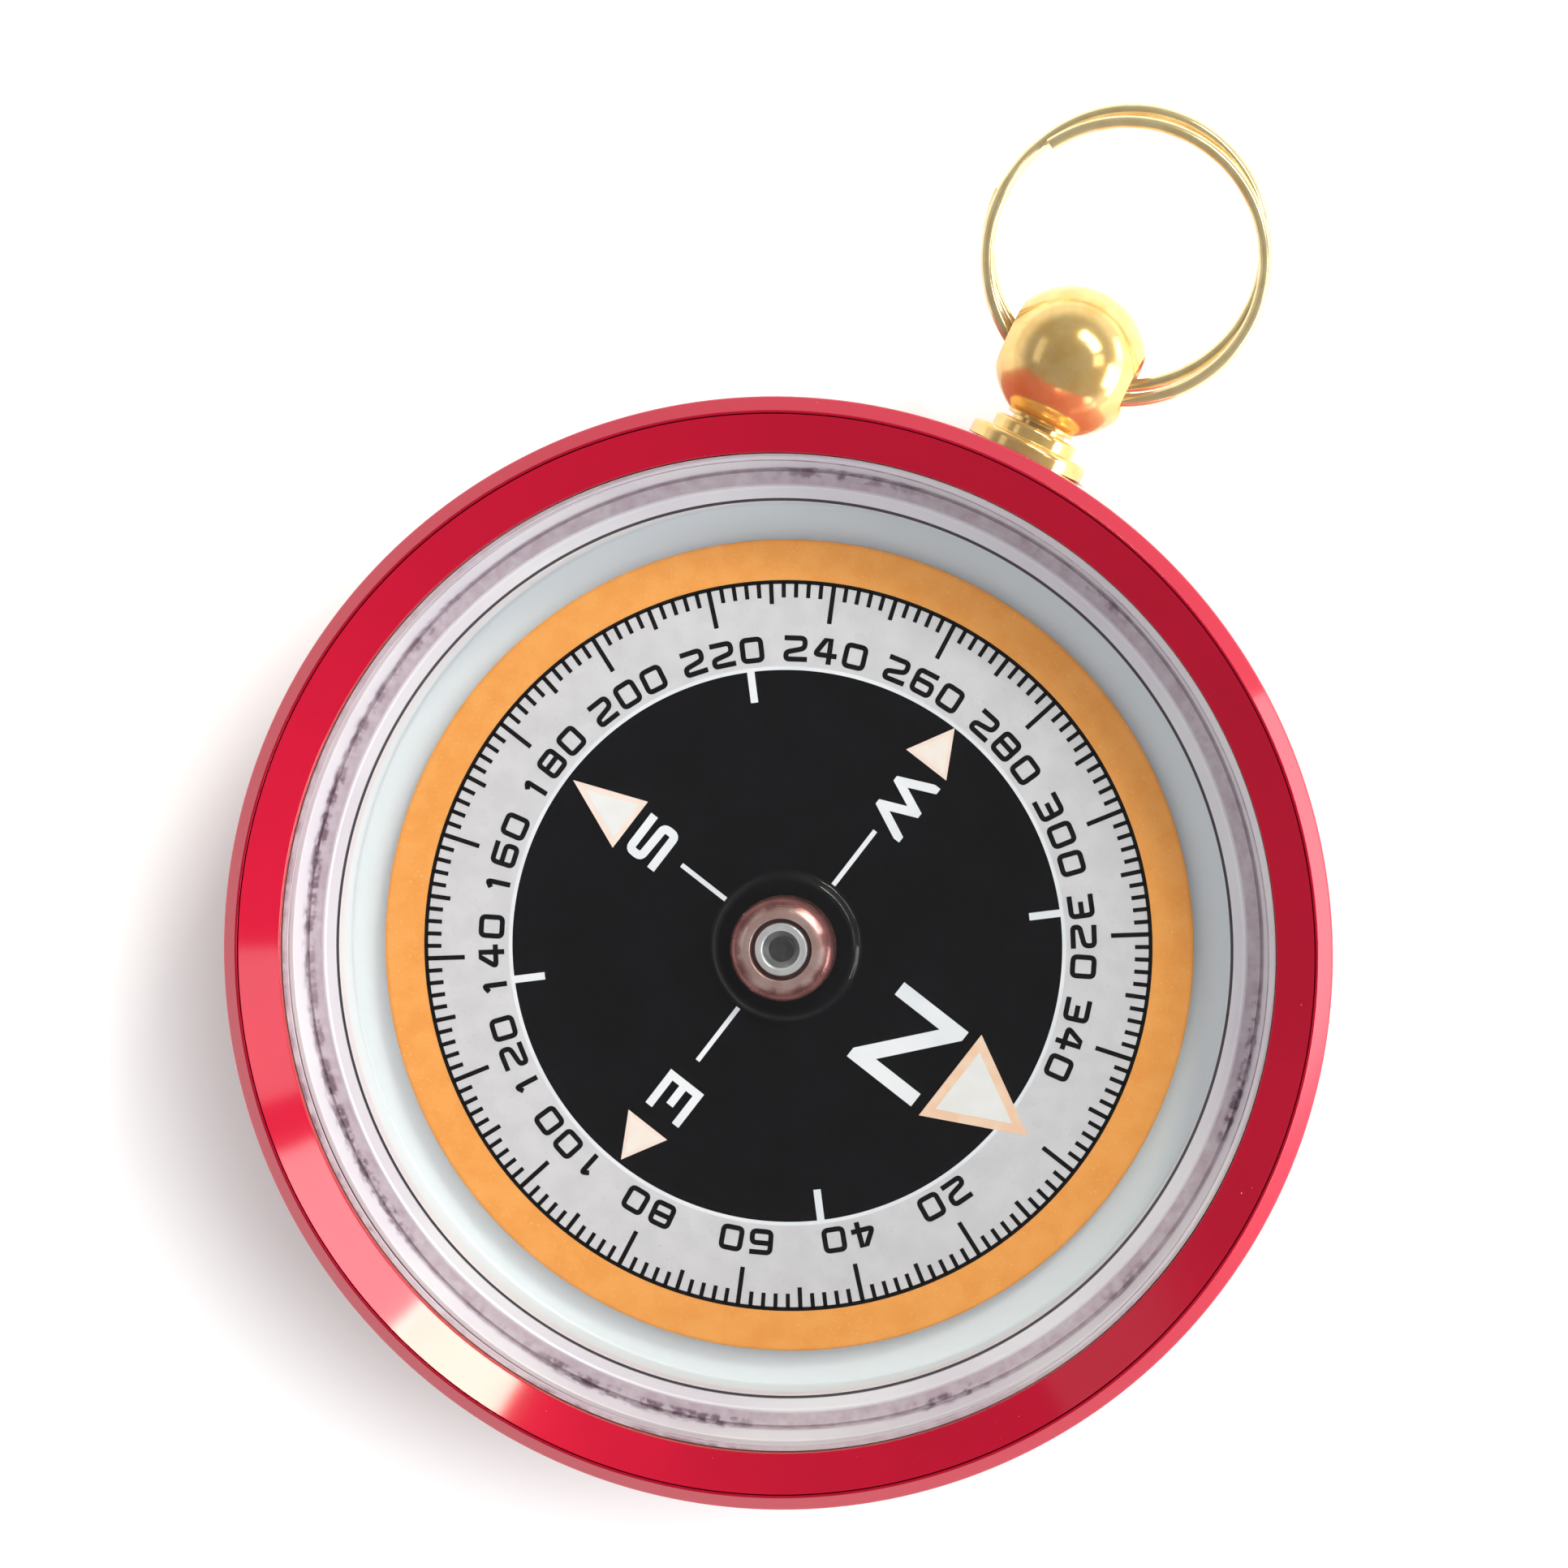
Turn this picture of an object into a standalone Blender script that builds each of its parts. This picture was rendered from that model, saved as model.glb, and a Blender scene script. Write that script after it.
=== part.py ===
# Hiking compass: a pocket watch shaped case with a floating dial, a ball crown and a split ring.
# Metres, +Z up. The origin is on the case's axis in its flat back face, and +Y points to the crown.

import math

import bmesh
import bpy

# Clearances
SEAT_GAP = 0.0002            # between pieces that rest on, or sit in, each other
DIAL_CLEARANCE = 0.00169     # round the dial, to the wall of its well
DIAL_FLOOR_CLEARANCE = 0.0021    # under the magnets, so that the dial can tip
HUB_HEADROOM = 0.0018        # between the dial's cap and the crystal
POST_CLEARANCE = 0.0008      # between the pivot's post and the cap's shank

# Case
CASE_RADIUS = 0.0250
CASE_WALL = 0.0024
CASE_FLOOR = 0.0016
BACK_CHAMFER = 0.0006
RIM_CHAMFER = 0.00065
RIM_LAND = 0.0001            # flat ridge between the rim's chamfer and the bezel

# Bezel
BEZEL_WIDTH = 0.00175        # of the cone, from the ridge to the crystal
BEZEL_DROP = 0.0010          # of the cone, from the ridge to the crystal
BEZEL_LIP = 0.0005           # thickness over the crystal's flange
BEZEL_SKIRT = 0.0009         # depth of the pressed skirt under the lip

# Crystal and gasket
CRYSTAL_THICKNESS = 0.00185
CRYSTAL_SINK = 0.00015       # of its face under the bezel's inner edge
CRYSTAL_BEVEL = 0.0003
CRYSTAL_LEDGE = 0.0008       # width of the case's ledge under the crystal
GASKET_THICKNESS = 0.0004
GASKET_WIDTH = 0.0005

# Floor disc and the stepped ring round the dial
DISC_THICKNESS = 0.0005
RING_WIDTH = 0.00205         # from the case's bore to the dial's well
RING_LIP = 0.00025           # width of its top edge, under the crystal
CONE_WIDTH = 0.0003          # of the cone under the lip
STEP_DEPTH = 0.0017          # of the step under the crystal
STEP_FALL = 0.00015          # of the step towards the well
STEP_GROOVE = 0.00012        # groove where the cone meets the step
SHELF_WIDTH = 0.0032         # of the shelf that shows round the dial and runs under its edge
SHELF_THICKNESS = 0.0008
SHELF_CLEARANCE = 0.0005     # under the dial, to the shelf

# Pivot
SOCKET_RADIUS = 0.0017       # hole for the pivot's foot, in the disc and the floor
SOCKET_DEPTH = 0.0008
FLANGE_RADIUS = 0.0030
FLANGE_THICKNESS = 0.0006
POST_RADIUS = 0.0013
NEEDLE_RADIUS = 0.0004
NEEDLE_SEAT = 0.0018         # length of needle held in the post
NEEDLE_POINT = 0.0010        # length of the conical point
POINT_RADIUS = 0.00005

# Dial card and its cap
CARD_THICKNESS = 0.0005
CARD_ROUND = 0.0004          # rounding of the card's top edge
BOSS_RADIUS = 0.00345
BOSS_RISE = 0.00025
HUB_HEIGHT = 0.0022          # from the card's face to the top of the cap
HUB_RADIUS = 0.0024
HUB_LAND = 0.00033           # width of the cap's flat top
HUB_POCKET = 0.00142         # radius of the pocket for the jewel's setting
HUB_POCKET_DEPTH = 0.0016
SHANK_RADIUS = 0.0017
HUB_BORE = 0.0009
COLLAR_RADIUS = 0.0029
COLLAR_LENGTH = 0.0008

# Jewel and its setting
SETTING_SINK = 0.0001
SETTING_WALL = 0.00044
SETTING_SHELF = 0.0004       # thickness of the shelf under the jewel
SETTING_HOLE = 0.0005        # radius of the hole for the needle's point
JEWEL_THICKNESS = 0.0005
JEWEL_CUP = 0.0002           # depth of the cone that the point runs in

# Magnets and their carrier
MAGNET_LENGTH = 0.0140
MAGNET_WIDTH = 0.0022
MAGNET_HEIGHT = 0.0013
MAGNET_OFFSET = 0.0052       # from the dial's axis
MAGNET_EDGE = 0.00015
CARRIER_THICKNESS = 0.0004
CARRIER_WALL = 0.0006
CARRIER_GRIP = 0.0009        # how far the carrier's walls reach down the magnets
CARRIER_BOSS = 0.0036
CARRIER_ARM = 0.0040
DIAL_HEADING = math.radians(-12.5)   # direction of north on the dial, from +X

# Crown
CROWN_BALL = 0.00345
CROWN_NECK = 0.0016
CROWN_NECK_LENGTH = 0.00015
CROWN_SHANK = 0.0013
CROWN_WEB = 0.0005           # case metal left under the blind hole
CROWN_HOLE = 0.0016          # radius of the cross hole for the split ring
SPOT_DEPTH = 0.0003          # of the flat milled in the case's side
CROWN_FLANGE = 0.0028
CROWN_FLANGE_THICKNESS = 0.00075
CROWN_BEAD = 0.0020
CROWN_BEAD_LENGTH = 0.00065

# Split ring
RING_RADIUS = 0.0063         # to the middle of the wire
RING_WIRE = 0.0006
RING_TURN_GAP = 0.0001       # between the two turns
RING_HANG = 0.00085          # how far the wire runs past the hole's axis, inside the ball
RING_SPLAY = (0.0003, -0.0006)       # of the upper turn against the lower one
RING_STEP_AT = math.radians(165.0)   # where the wire steps from one turn to the other
RING_STEP_HALF = math.radians(16.0)

# Facets
RIM_STEPS = 72
SMALL_STEPS = 32
NEEDLE_STEPS = 24
RING_STEPS = 40              # points in a turn of the split ring
ROUND_STEPS = 4              # points in a rounded edge

# Radii, from the case inwards
BORE_RADIUS = CASE_RADIUS - CASE_WALL
RIDGE_RADIUS = CASE_RADIUS - RIM_CHAMFER - RIM_LAND
MOUTH_RADIUS = BORE_RADIUS + CRYSTAL_LEDGE
BEZEL_OUTER = RIDGE_RADIUS - SEAT_GAP
BEZEL_OPENING = RIDGE_RADIUS - BEZEL_WIDTH
CRYSTAL_RADIUS = MOUTH_RADIUS - SEAT_GAP
CRYSTAL_FACE_RADIUS = BEZEL_OPENING - SEAT_GAP
RING_OUTER = BORE_RADIUS - SEAT_GAP
WELL_RADIUS = RING_OUTER - RING_WIDTH
DIAL_RADIUS = WELL_RADIUS - DIAL_CLEARANCE
CARD_HOLE = SHANK_RADIUS + SEAT_GAP

# Heights, from the back face upwards
DISC_BOTTOM = CASE_FLOOR + SEAT_GAP
DISC_TOP = DISC_BOTTOM + DISC_THICKNESS
MAGNET_BOTTOM = DISC_TOP + DIAL_FLOOR_CLEARANCE
CARRIER_BOTTOM = MAGNET_BOTTOM + MAGNET_HEIGHT + SEAT_GAP
CARD_BOTTOM = CARRIER_BOTTOM + CARRIER_THICKNESS + SEAT_GAP
CARD_TOP = CARD_BOTTOM + CARD_THICKNESS
HUB_TOP = CARD_TOP + HUB_HEIGHT
CRYSTAL_BOTTOM = HUB_TOP + HUB_HEADROOM
CRYSTAL_TOP = CRYSTAL_BOTTOM + CRYSTAL_THICKNESS
BEZEL_EDGE = CRYSTAL_TOP + CRYSTAL_SINK
CASE_HEIGHT = BEZEL_EDGE + BEZEL_DROP
LIP_BOTTOM = BEZEL_EDGE - BEZEL_LIP
SKIRT_BOTTOM = LIP_BOTTOM - BEZEL_SKIRT
GASKET_BOTTOM = CRYSTAL_BOTTOM - SEAT_GAP - GASKET_THICKNESS
LEDGE_HEIGHT = GASKET_BOTTOM - SEAT_GAP
COLLAR_BOTTOM = CARRIER_BOTTOM - SEAT_GAP - COLLAR_LENGTH
POST_TOP = COLLAR_BOTTOM - POST_CLEARANCE
SETTING_TOP = HUB_TOP - SETTING_SINK
SETTING_BOTTOM = HUB_TOP - HUB_POCKET_DEPTH + SEAT_GAP
JEWEL_BOTTOM = SETTING_BOTTOM + SETTING_SHELF + SEAT_GAP
POINT_HEIGHT = JEWEL_BOTTOM + JEWEL_CUP - SEAT_GAP

# Places along the crown's axis, from the case outwards
CROWN_HEIGHT = CASE_HEIGHT / 2
SPOT_FACE = CASE_RADIUS - SPOT_DEPTH
BLIND_END = BORE_RADIUS + CROWN_WEB
FLANGE_BASE = SPOT_FACE + SEAT_GAP
BEAD_TOP = FLANGE_BASE + CROWN_FLANGE_THICKNESS + CROWN_BEAD_LENGTH
NECK_BASE = BEAD_TOP + SEAT_GAP
BALL_REACH = NECK_BASE + CROWN_NECK_LENGTH + math.sqrt(CROWN_BALL ** 2 - CROWN_NECK ** 2)


def new_collection(name):
    collection = bpy.data.collections.new(name)
    bpy.context.scene.collection.children.link(collection)
    return collection


def new_material(name, colour, roughness, metallic=0.0, alpha=1.0):
    material = bpy.data.materials.new(name)
    material.use_nodes = True
    shader = material.node_tree.nodes["Principled BSDF"]
    shader.inputs["Base Color"].default_value = (*colour, 1.0)
    shader.inputs["Roughness"].default_value = roughness
    shader.inputs["Metallic"].default_value = metallic
    shader.inputs["Alpha"].default_value = alpha
    material.diffuse_color = (*colour, alpha)
    return material


def add_object(name, data, collection, place=(0.0, 0.0, 0.0), turn=(0.0, 0.0, 0.0), parent=None):
    item = bpy.data.objects.new(name, data)
    item.location = place
    item.rotation_euler = turn
    item.parent = parent
    collection.objects.link(item)
    return item


def finish_mesh(item, material):
    """Replaces the object's data by its evaluated mesh, shaded smooth up to sharp edges."""
    bpy.context.view_layer.update()
    evaluated = item.evaluated_get(bpy.context.evaluated_depsgraph_get())
    mesh = bpy.data.meshes.new_from_object(evaluated)
    mesh.name = item.name
    item.modifiers.clear()
    item.data = mesh
    mesh.materials.clear()
    mesh.materials.append(material)
    mesh.shade_smooth()
    mesh.set_sharp_from_angle(angle=math.radians(32.0))
    return item


def turned(name, outline, steps, material, closed, **placing):
    """A turned piece: its outline of (radius, height) points goes round the Z axis."""
    mesh = bpy.data.meshes.new(name)
    points = [(radius, 0.0, height) for radius, height in outline]
    edges = [(i, i + 1) for i in range(len(points) - 1)]
    if closed:
        edges.append((len(points) - 1, 0))
    mesh.from_pydata(points, edges, [])
    item = add_object(name, mesh, PARTS, **placing)
    screw = item.modifiers.new("Turn", "SCREW")
    screw.axis = "Z"
    screw.steps = steps
    screw.render_steps = steps
    screw.use_merge_vertices = True
    screw.merge_threshold = 1e-6
    return finish_mesh(item, material)


def arc(centre, radius, start, end, steps):
    """Points along an arc, with its two angles in degrees."""
    angles = [math.radians(start + (end - start) * i / steps) for i in range(steps + 1)]
    return [(centre[0] + radius * math.cos(a), centre[1] + radius * math.sin(a)) for a in angles]


def box(name, size, place, collection, parent=None, turn=(0.0, 0.0, 0.0)):
    shape = bmesh.new()
    bmesh.ops.create_cube(shape, size=1.0)
    bmesh.ops.scale(shape, vec=size, verts=shape.verts)
    mesh = bpy.data.meshes.new(name)
    shape.to_mesh(mesh)
    shape.free()
    return add_object(name, mesh, collection, place, turn, parent)


def cylinder(name, radius, length, place, turn, parent=None):
    """A cylinder among the cutters, centred on its place."""
    shape = bmesh.new()
    bmesh.ops.create_cone(shape, cap_ends=True, segments=SMALL_STEPS, radius1=radius, radius2=radius,
                          depth=length)
    mesh = bpy.data.meshes.new(name)
    shape.to_mesh(mesh)
    shape.free()
    return hide(add_object(name, mesh, CUTTERS, place, turn, parent))


def hide(cutter):
    cutter.hide_render = True
    cutter.display_type = "WIRE"
    return cutter


def combine(item, tool, operation):
    boolean = item.modifiers.new(tool.name, "BOOLEAN")
    boolean.object = tool
    boolean.operation = operation
    boolean.solver = "EXACT"


for old in list(bpy.data.objects):
    bpy.data.objects.remove(old)

PARTS = new_collection("hiking_compass")
CUTTERS = new_collection("cutters")

RED_ANODISED = new_material("red_anodised", (0.56, 0.012, 0.045), 0.25, 1.0)
RED_BEZEL = new_material("red_bezel", (0.60, 0.012, 0.050), 0.15, 1.0)
CLEAR_ACRYLIC = new_material("clear_acrylic", (0.95, 0.96, 0.97), 0.05, 0.0, 0.3)
BLACK_RUBBER = new_material("black_rubber", (0.02, 0.02, 0.02), 0.7)
WHITE_PLASTIC = new_material("white_plastic", (0.80, 0.80, 0.82), 0.35)
SILVER_CARD = new_material("silver_card", (0.75, 0.76, 0.78), 0.4)
BRASS = new_material("brass", (0.62, 0.43, 0.16), 0.3, 1.0)
NEEDLE_STEEL = new_material("needle_steel", (0.62, 0.62, 0.64), 0.2, 1.0)
DIAL_PRINT = new_material("dial_print", (0.02, 0.02, 0.025), 0.35)
COPPER = new_material("copper", (0.45, 0.22, 0.16), 0.3, 1.0)
SETTING_STEEL = new_material("setting_steel", (0.70, 0.70, 0.70), 0.2, 1.0)
DARK_JEWEL = new_material("dark_jewel", (0.08, 0.08, 0.08), 0.1)
BLACK_PLASTIC = new_material("black_plastic", (0.03, 0.03, 0.03), 0.5)
MAGNET_GREY = new_material("magnet_grey", (0.30, 0.30, 0.31), 0.4, 1.0)
GOLD_PLATE = new_material("gold_plate", (0.85, 0.62, 0.22), 0.2, 1.0)
GOLD_WIRE = new_material("gold_wire", (0.80, 0.60, 0.26), 0.25, 1.0)


# Case body: a turned cup with a socket for the pivot, a ledge for the crystal and a bezel seat
case_outline = [
    (0.0, CASE_FLOOR - SOCKET_DEPTH),
    (SOCKET_RADIUS, CASE_FLOOR - SOCKET_DEPTH),
    (SOCKET_RADIUS, CASE_FLOOR),
    (BORE_RADIUS, CASE_FLOOR),
    (BORE_RADIUS, LEDGE_HEIGHT),
    (MOUTH_RADIUS, LEDGE_HEIGHT),
    (MOUTH_RADIUS, SKIRT_BOTTOM - SEAT_GAP),
    (RIDGE_RADIUS, SKIRT_BOTTOM - SEAT_GAP),
    (RIDGE_RADIUS, CASE_HEIGHT),
    (RIDGE_RADIUS + RIM_LAND, CASE_HEIGHT),
    (CASE_RADIUS, CASE_HEIGHT - RIM_CHAMFER),
    (CASE_RADIUS, BACK_CHAMFER),
    (CASE_RADIUS - BACK_CHAMFER, 0.0),
    (0.0, 0.0),
]
case_body = turned("case_body", case_outline, RIM_STEPS, RED_ANODISED, closed=False)

# The crown's spot face and blind threaded hole, milled and drilled in the case's side
ALONG_Y = (math.radians(-90.0), 0.0, 0.0)
ALONG_X = (0.0, math.radians(90.0), 0.0)
hole_length = 2 * (CASE_RADIUS - BLIND_END)
spot_length = 2 * SPOT_DEPTH + CROWN_FLANGE
spot_face = cylinder("spot_face_cutter", CROWN_FLANGE + SEAT_GAP, spot_length,
                     (0.0, SPOT_FACE + spot_length / 2, CROWN_HEIGHT), ALONG_Y)
crown_bore = cylinder("crown_bore_cutter", CROWN_SHANK + SEAT_GAP, hole_length,
                      (0.0, BLIND_END + hole_length / 2, CROWN_HEIGHT), ALONG_Y)
combine(case_body, spot_face, "DIFFERENCE")
combine(case_body, crown_bore, "DIFFERENCE")

# Bezel ring: a cone that falls to the crystal, and a skirt that is pressed into the case
cone_slope = BEZEL_DROP / BEZEL_WIDTH
bezel_outline = [
    (BEZEL_OUTER, CASE_HEIGHT - SEAT_GAP * cone_slope),
    (BEZEL_OUTER, SKIRT_BOTTOM),
    (MOUTH_RADIUS, SKIRT_BOTTOM),
    (MOUTH_RADIUS, LIP_BOTTOM),
    (BEZEL_OPENING, LIP_BOTTOM),
    (BEZEL_OPENING, BEZEL_EDGE),
]
turned("bezel_ring", bezel_outline, RIM_STEPS, RED_BEZEL, closed=True)

# Crystal: a flat lens with a flange under the bezel's lip
crystal_outline = [
    (0.0, CRYSTAL_THICKNESS),
    (CRYSTAL_FACE_RADIUS - CRYSTAL_BEVEL, CRYSTAL_THICKNESS),
    (CRYSTAL_FACE_RADIUS, CRYSTAL_THICKNESS - CRYSTAL_BEVEL),
    (CRYSTAL_FACE_RADIUS, LIP_BOTTOM - SEAT_GAP - CRYSTAL_BOTTOM),
    (CRYSTAL_RADIUS, LIP_BOTTOM - SEAT_GAP - CRYSTAL_BOTTOM),
    (CRYSTAL_RADIUS, 0.0),
    (0.0, 0.0),
]
turned("crystal", crystal_outline, RIM_STEPS, CLEAR_ACRYLIC, closed=False,
       place=(0.0, 0.0, CRYSTAL_BOTTOM))

# Gasket: a flat rubber ring between the crystal and the case's ledge
gasket_outline = [
    (CRYSTAL_RADIUS, GASKET_THICKNESS),
    (CRYSTAL_RADIUS, 0.0),
    (CRYSTAL_RADIUS - GASKET_WIDTH, 0.0),
    (CRYSTAL_RADIUS - GASKET_WIDTH, GASKET_THICKNESS),
]
turned("crystal_gasket", gasket_outline, RIM_STEPS, BLACK_RUBBER, closed=True,
       place=(0.0, 0.0, GASKET_BOTTOM))

# Inner ring: lines the case from the floor disc to the crystal, with a cone, a step over the dial's
# well, and a shelf in the well that shows round the dial
ring_bottom = DISC_TOP + SEAT_GAP
ring_top = CRYSTAL_BOTTOM - SEAT_GAP
step_height = CRYSTAL_BOTTOM - STEP_DEPTH
cone_foot = RING_OUTER - RING_LIP - CONE_WIDTH
shelf_top = CARD_BOTTOM - SHELF_CLEARANCE
inner_ring_outline = [
    (RING_OUTER, ring_top),
    (RING_OUTER, ring_bottom),
    (WELL_RADIUS, ring_bottom),
    (WELL_RADIUS, shelf_top - SHELF_THICKNESS),
    (WELL_RADIUS - SHELF_WIDTH, shelf_top - SHELF_THICKNESS),
    (WELL_RADIUS - SHELF_WIDTH, shelf_top),
    (WELL_RADIUS, shelf_top),
    (WELL_RADIUS, step_height - STEP_FALL),
    (cone_foot - STEP_GROOVE, step_height),
    (cone_foot - STEP_GROOVE, step_height - STEP_GROOVE),
    (cone_foot, step_height - STEP_GROOVE),
    (cone_foot, step_height),
    (RING_OUTER - RING_LIP, ring_top),
]
turned("inner_ring", inner_ring_outline, RIM_STEPS, WHITE_PLASTIC, closed=True)

# Base disc: the floor under the dial, which carries the pivot and the inner ring
disc_outline = [
    (RING_OUTER, DISC_THICKNESS),
    (RING_OUTER, 0.0),
    (SOCKET_RADIUS, 0.0),
    (SOCKET_RADIUS, DISC_THICKNESS),
]
turned("base_disc", disc_outline, RIM_STEPS, SILVER_CARD, closed=True, place=(0.0, 0.0, DISC_BOTTOM))

# Pivot base: its foot passes the disc into the case's socket, and its post holds the needle
flange_bottom = DISC_TOP + SEAT_GAP
foot_bottom = CASE_FLOOR - SOCKET_DEPTH + SEAT_GAP
needle_hole_bottom = POST_TOP - NEEDLE_SEAT - SEAT_GAP
pivot_outline = [
    (0.0, needle_hole_bottom),
    (NEEDLE_RADIUS + SEAT_GAP, needle_hole_bottom),
    (NEEDLE_RADIUS + SEAT_GAP, POST_TOP),
    (POST_RADIUS, POST_TOP),
    (POST_RADIUS, flange_bottom + FLANGE_THICKNESS),
    (FLANGE_RADIUS, flange_bottom + FLANGE_THICKNESS),
    (FLANGE_RADIUS, flange_bottom),
    (SOCKET_RADIUS - SEAT_GAP, flange_bottom),
    (SOCKET_RADIUS - SEAT_GAP, foot_bottom),
    (0.0, foot_bottom),
]
turned("pivot_base", pivot_outline, SMALL_STEPS, BRASS, closed=False)

# Pivot needle: a steel pin with a conical point
needle_bottom = POST_TOP - NEEDLE_SEAT
needle_outline = [
    (0.0, POINT_HEIGHT),
    (POINT_RADIUS, POINT_HEIGHT - POINT_RADIUS),
    (NEEDLE_RADIUS, POINT_HEIGHT - NEEDLE_POINT),
    (NEEDLE_RADIUS, needle_bottom),
    (0.0, needle_bottom),
]
turned("pivot_needle", needle_outline, NEEDLE_STEPS, NEEDLE_STEEL, closed=False)


# Dial: everything that turns on the needle hangs from this empty, on the needle's point
dial_axis = add_object("dial_axis", None, PARTS, (0.0, 0.0, POINT_HEIGHT), (0.0, 0.0, DIAL_HEADING))


def on_dial(height):
    """Placing of a dial piece whose own zero lies at this height over the case's back."""
    return {"place": (0.0, 0.0, height - POINT_HEIGHT), "parent": dial_axis}


# Dial card: a thin disc with a low boss under the cap and a rounded outer edge
boss_slope = BOSS_RISE / 2
card_outline = [
    (CARD_HOLE, CARD_THICKNESS + BOSS_RISE),
    (BOSS_RADIUS - boss_slope, CARD_THICKNESS + BOSS_RISE),
    (BOSS_RADIUS, CARD_THICKNESS),
    *arc((DIAL_RADIUS - CARD_ROUND, CARD_THICKNESS - CARD_ROUND), CARD_ROUND, 90.0, 0.0, ROUND_STEPS),
    (DIAL_RADIUS, 0.0),
    (CARD_HOLE, 0.0),
]
turned("dial_card", card_outline, RIM_STEPS, DIAL_PRINT, closed=True, **on_dial(CARD_BOTTOM))

# Dial hub: a domed copper cap whose shank clamps the card and the carrier
hub_base = CARD_TOP + BOSS_RISE + SEAT_GAP
dome_height = (HUB_TOP - hub_base) * 0.6
dome_width = HUB_RADIUS - HUB_POCKET - HUB_LAND
hub_dome = [(HUB_RADIUS - dome_width + dome_width * x, HUB_TOP - dome_height + dome_height * z)
            for x, z in arc((0.0, 0.0), 1.0, 90.0, 0.0, ROUND_STEPS)]
hub_outline = [
    *hub_dome,
    (HUB_RADIUS, hub_base),
    (SHANK_RADIUS, hub_base),
    (SHANK_RADIUS, COLLAR_BOTTOM),
    (HUB_BORE, COLLAR_BOTTOM),
    (HUB_BORE, HUB_TOP - HUB_POCKET_DEPTH),
    (HUB_POCKET, HUB_TOP - HUB_POCKET_DEPTH),
    (HUB_POCKET, HUB_TOP),
]
turned("dial_hub", hub_outline, SMALL_STEPS, COPPER, closed=True, **on_dial(0.0))

# Jewel setting: a steel ring in the cap's pocket, with a shelf that carries the jewel
setting_outer = HUB_POCKET - SEAT_GAP
setting_inner = setting_outer - SETTING_WALL
setting_outline = [
    (setting_outer, SETTING_TOP),
    (setting_outer, SETTING_BOTTOM),
    (SETTING_HOLE, SETTING_BOTTOM),
    (SETTING_HOLE, SETTING_BOTTOM + SETTING_SHELF),
    (setting_inner, SETTING_BOTTOM + SETTING_SHELF),
    (setting_inner, SETTING_TOP),
]
turned("jewel_setting", setting_outline, SMALL_STEPS, SETTING_STEEL, closed=True, **on_dial(0.0))

# Pivot jewel: a small stone with a cone on its underside, where the needle's point runs
jewel_radius = setting_inner - SEAT_GAP
cup_radius = min(SETTING_HOLE, jewel_radius) * 0.7
jewel_outline = [
    (0.0, JEWEL_THICKNESS),
    (jewel_radius, JEWEL_THICKNESS),
    (jewel_radius, 0.0),
    (cup_radius, 0.0),
    (0.0, JEWEL_CUP),
]
turned("pivot_jewel", jewel_outline, NEEDLE_STEPS, DARK_JEWEL, closed=False, **on_dial(JEWEL_BOTTOM))

# Hub collar: pressed on the shank from below
collar_outline = [
    (COLLAR_RADIUS, COLLAR_LENGTH),
    (COLLAR_RADIUS, 0.0),
    (CARD_HOLE, 0.0),
    (CARD_HOLE, COLLAR_LENGTH),
]
turned("hub_collar", collar_outline, SMALL_STEPS, BRASS, closed=True, **on_dial(COLLAR_BOTTOM))

# Magnet carrier: a round boss with two arms, each ending in a trough for a magnet
carrier_outline = [
    (CARRIER_BOSS, CARRIER_THICKNESS),
    (CARRIER_BOSS, 0.0),
    (CARD_HOLE, 0.0),
    (CARD_HOLE, CARRIER_THICKNESS),
]
magnet_carrier = turned("magnet_carrier", carrier_outline, SMALL_STEPS, BLACK_PLASTIC, closed=True,
                        **on_dial(CARRIER_BOTTOM))
carrier_level = on_dial(CARRIER_BOTTOM)["place"][2]
trough_inner = (MAGNET_LENGTH + 2 * SEAT_GAP, MAGNET_WIDTH + 2 * SEAT_GAP)
trough_outer = (trough_inner[0] + 2 * CARRIER_WALL, trough_inner[1] + 2 * CARRIER_WALL)
trough_depth = SEAT_GAP + CARRIER_GRIP
arm_start = (CARD_HOLE + CARRIER_BOSS) / 2
for side, sign in (("east", -1.0), ("west", 1.0)):
    trough_top = CARRIER_THICKNESS / 2
    arm_length = MAGNET_OFFSET - arm_start
    arm = hide(box("arm_" + side, (CARRIER_ARM, arm_length, CARRIER_THICKNESS),
                   (0.0, sign * (arm_start + arm_length / 2), carrier_level + trough_top),
                   CUTTERS, dial_axis))
    trough = hide(box("trough_" + side, (*trough_outer, CARRIER_THICKNESS + trough_depth),
                      (0.0, sign * MAGNET_OFFSET, carrier_level + (CARRIER_THICKNESS - trough_depth) / 2),
                      CUTTERS, dial_axis))
    pocket = hide(box("pocket_" + side, (*trough_inner, 2 * trough_depth),
                      (0.0, sign * MAGNET_OFFSET, carrier_level - trough_depth),
                      CUTTERS, dial_axis))
    combine(magnet_carrier, arm, "UNION")
    combine(magnet_carrier, trough, "UNION")
    combine(magnet_carrier, pocket, "DIFFERENCE")

# Magnets: two bars along the dial's north line, one on each side of the pivot
magnet_level = on_dial(MAGNET_BOTTOM + MAGNET_HEIGHT / 2)["place"][2]
for side, sign in (("east", -1.0), ("west", 1.0)):
    magnet = box("magnet_" + side, (MAGNET_LENGTH, MAGNET_WIDTH, MAGNET_HEIGHT),
                 (0.0, sign * MAGNET_OFFSET, magnet_level), PARTS, dial_axis)
    magnet.data.materials.append(MAGNET_GREY)
    edge = magnet.modifiers.new("Edge", "BEVEL")
    edge.width = MAGNET_EDGE
    edge.segments = 2


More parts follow.
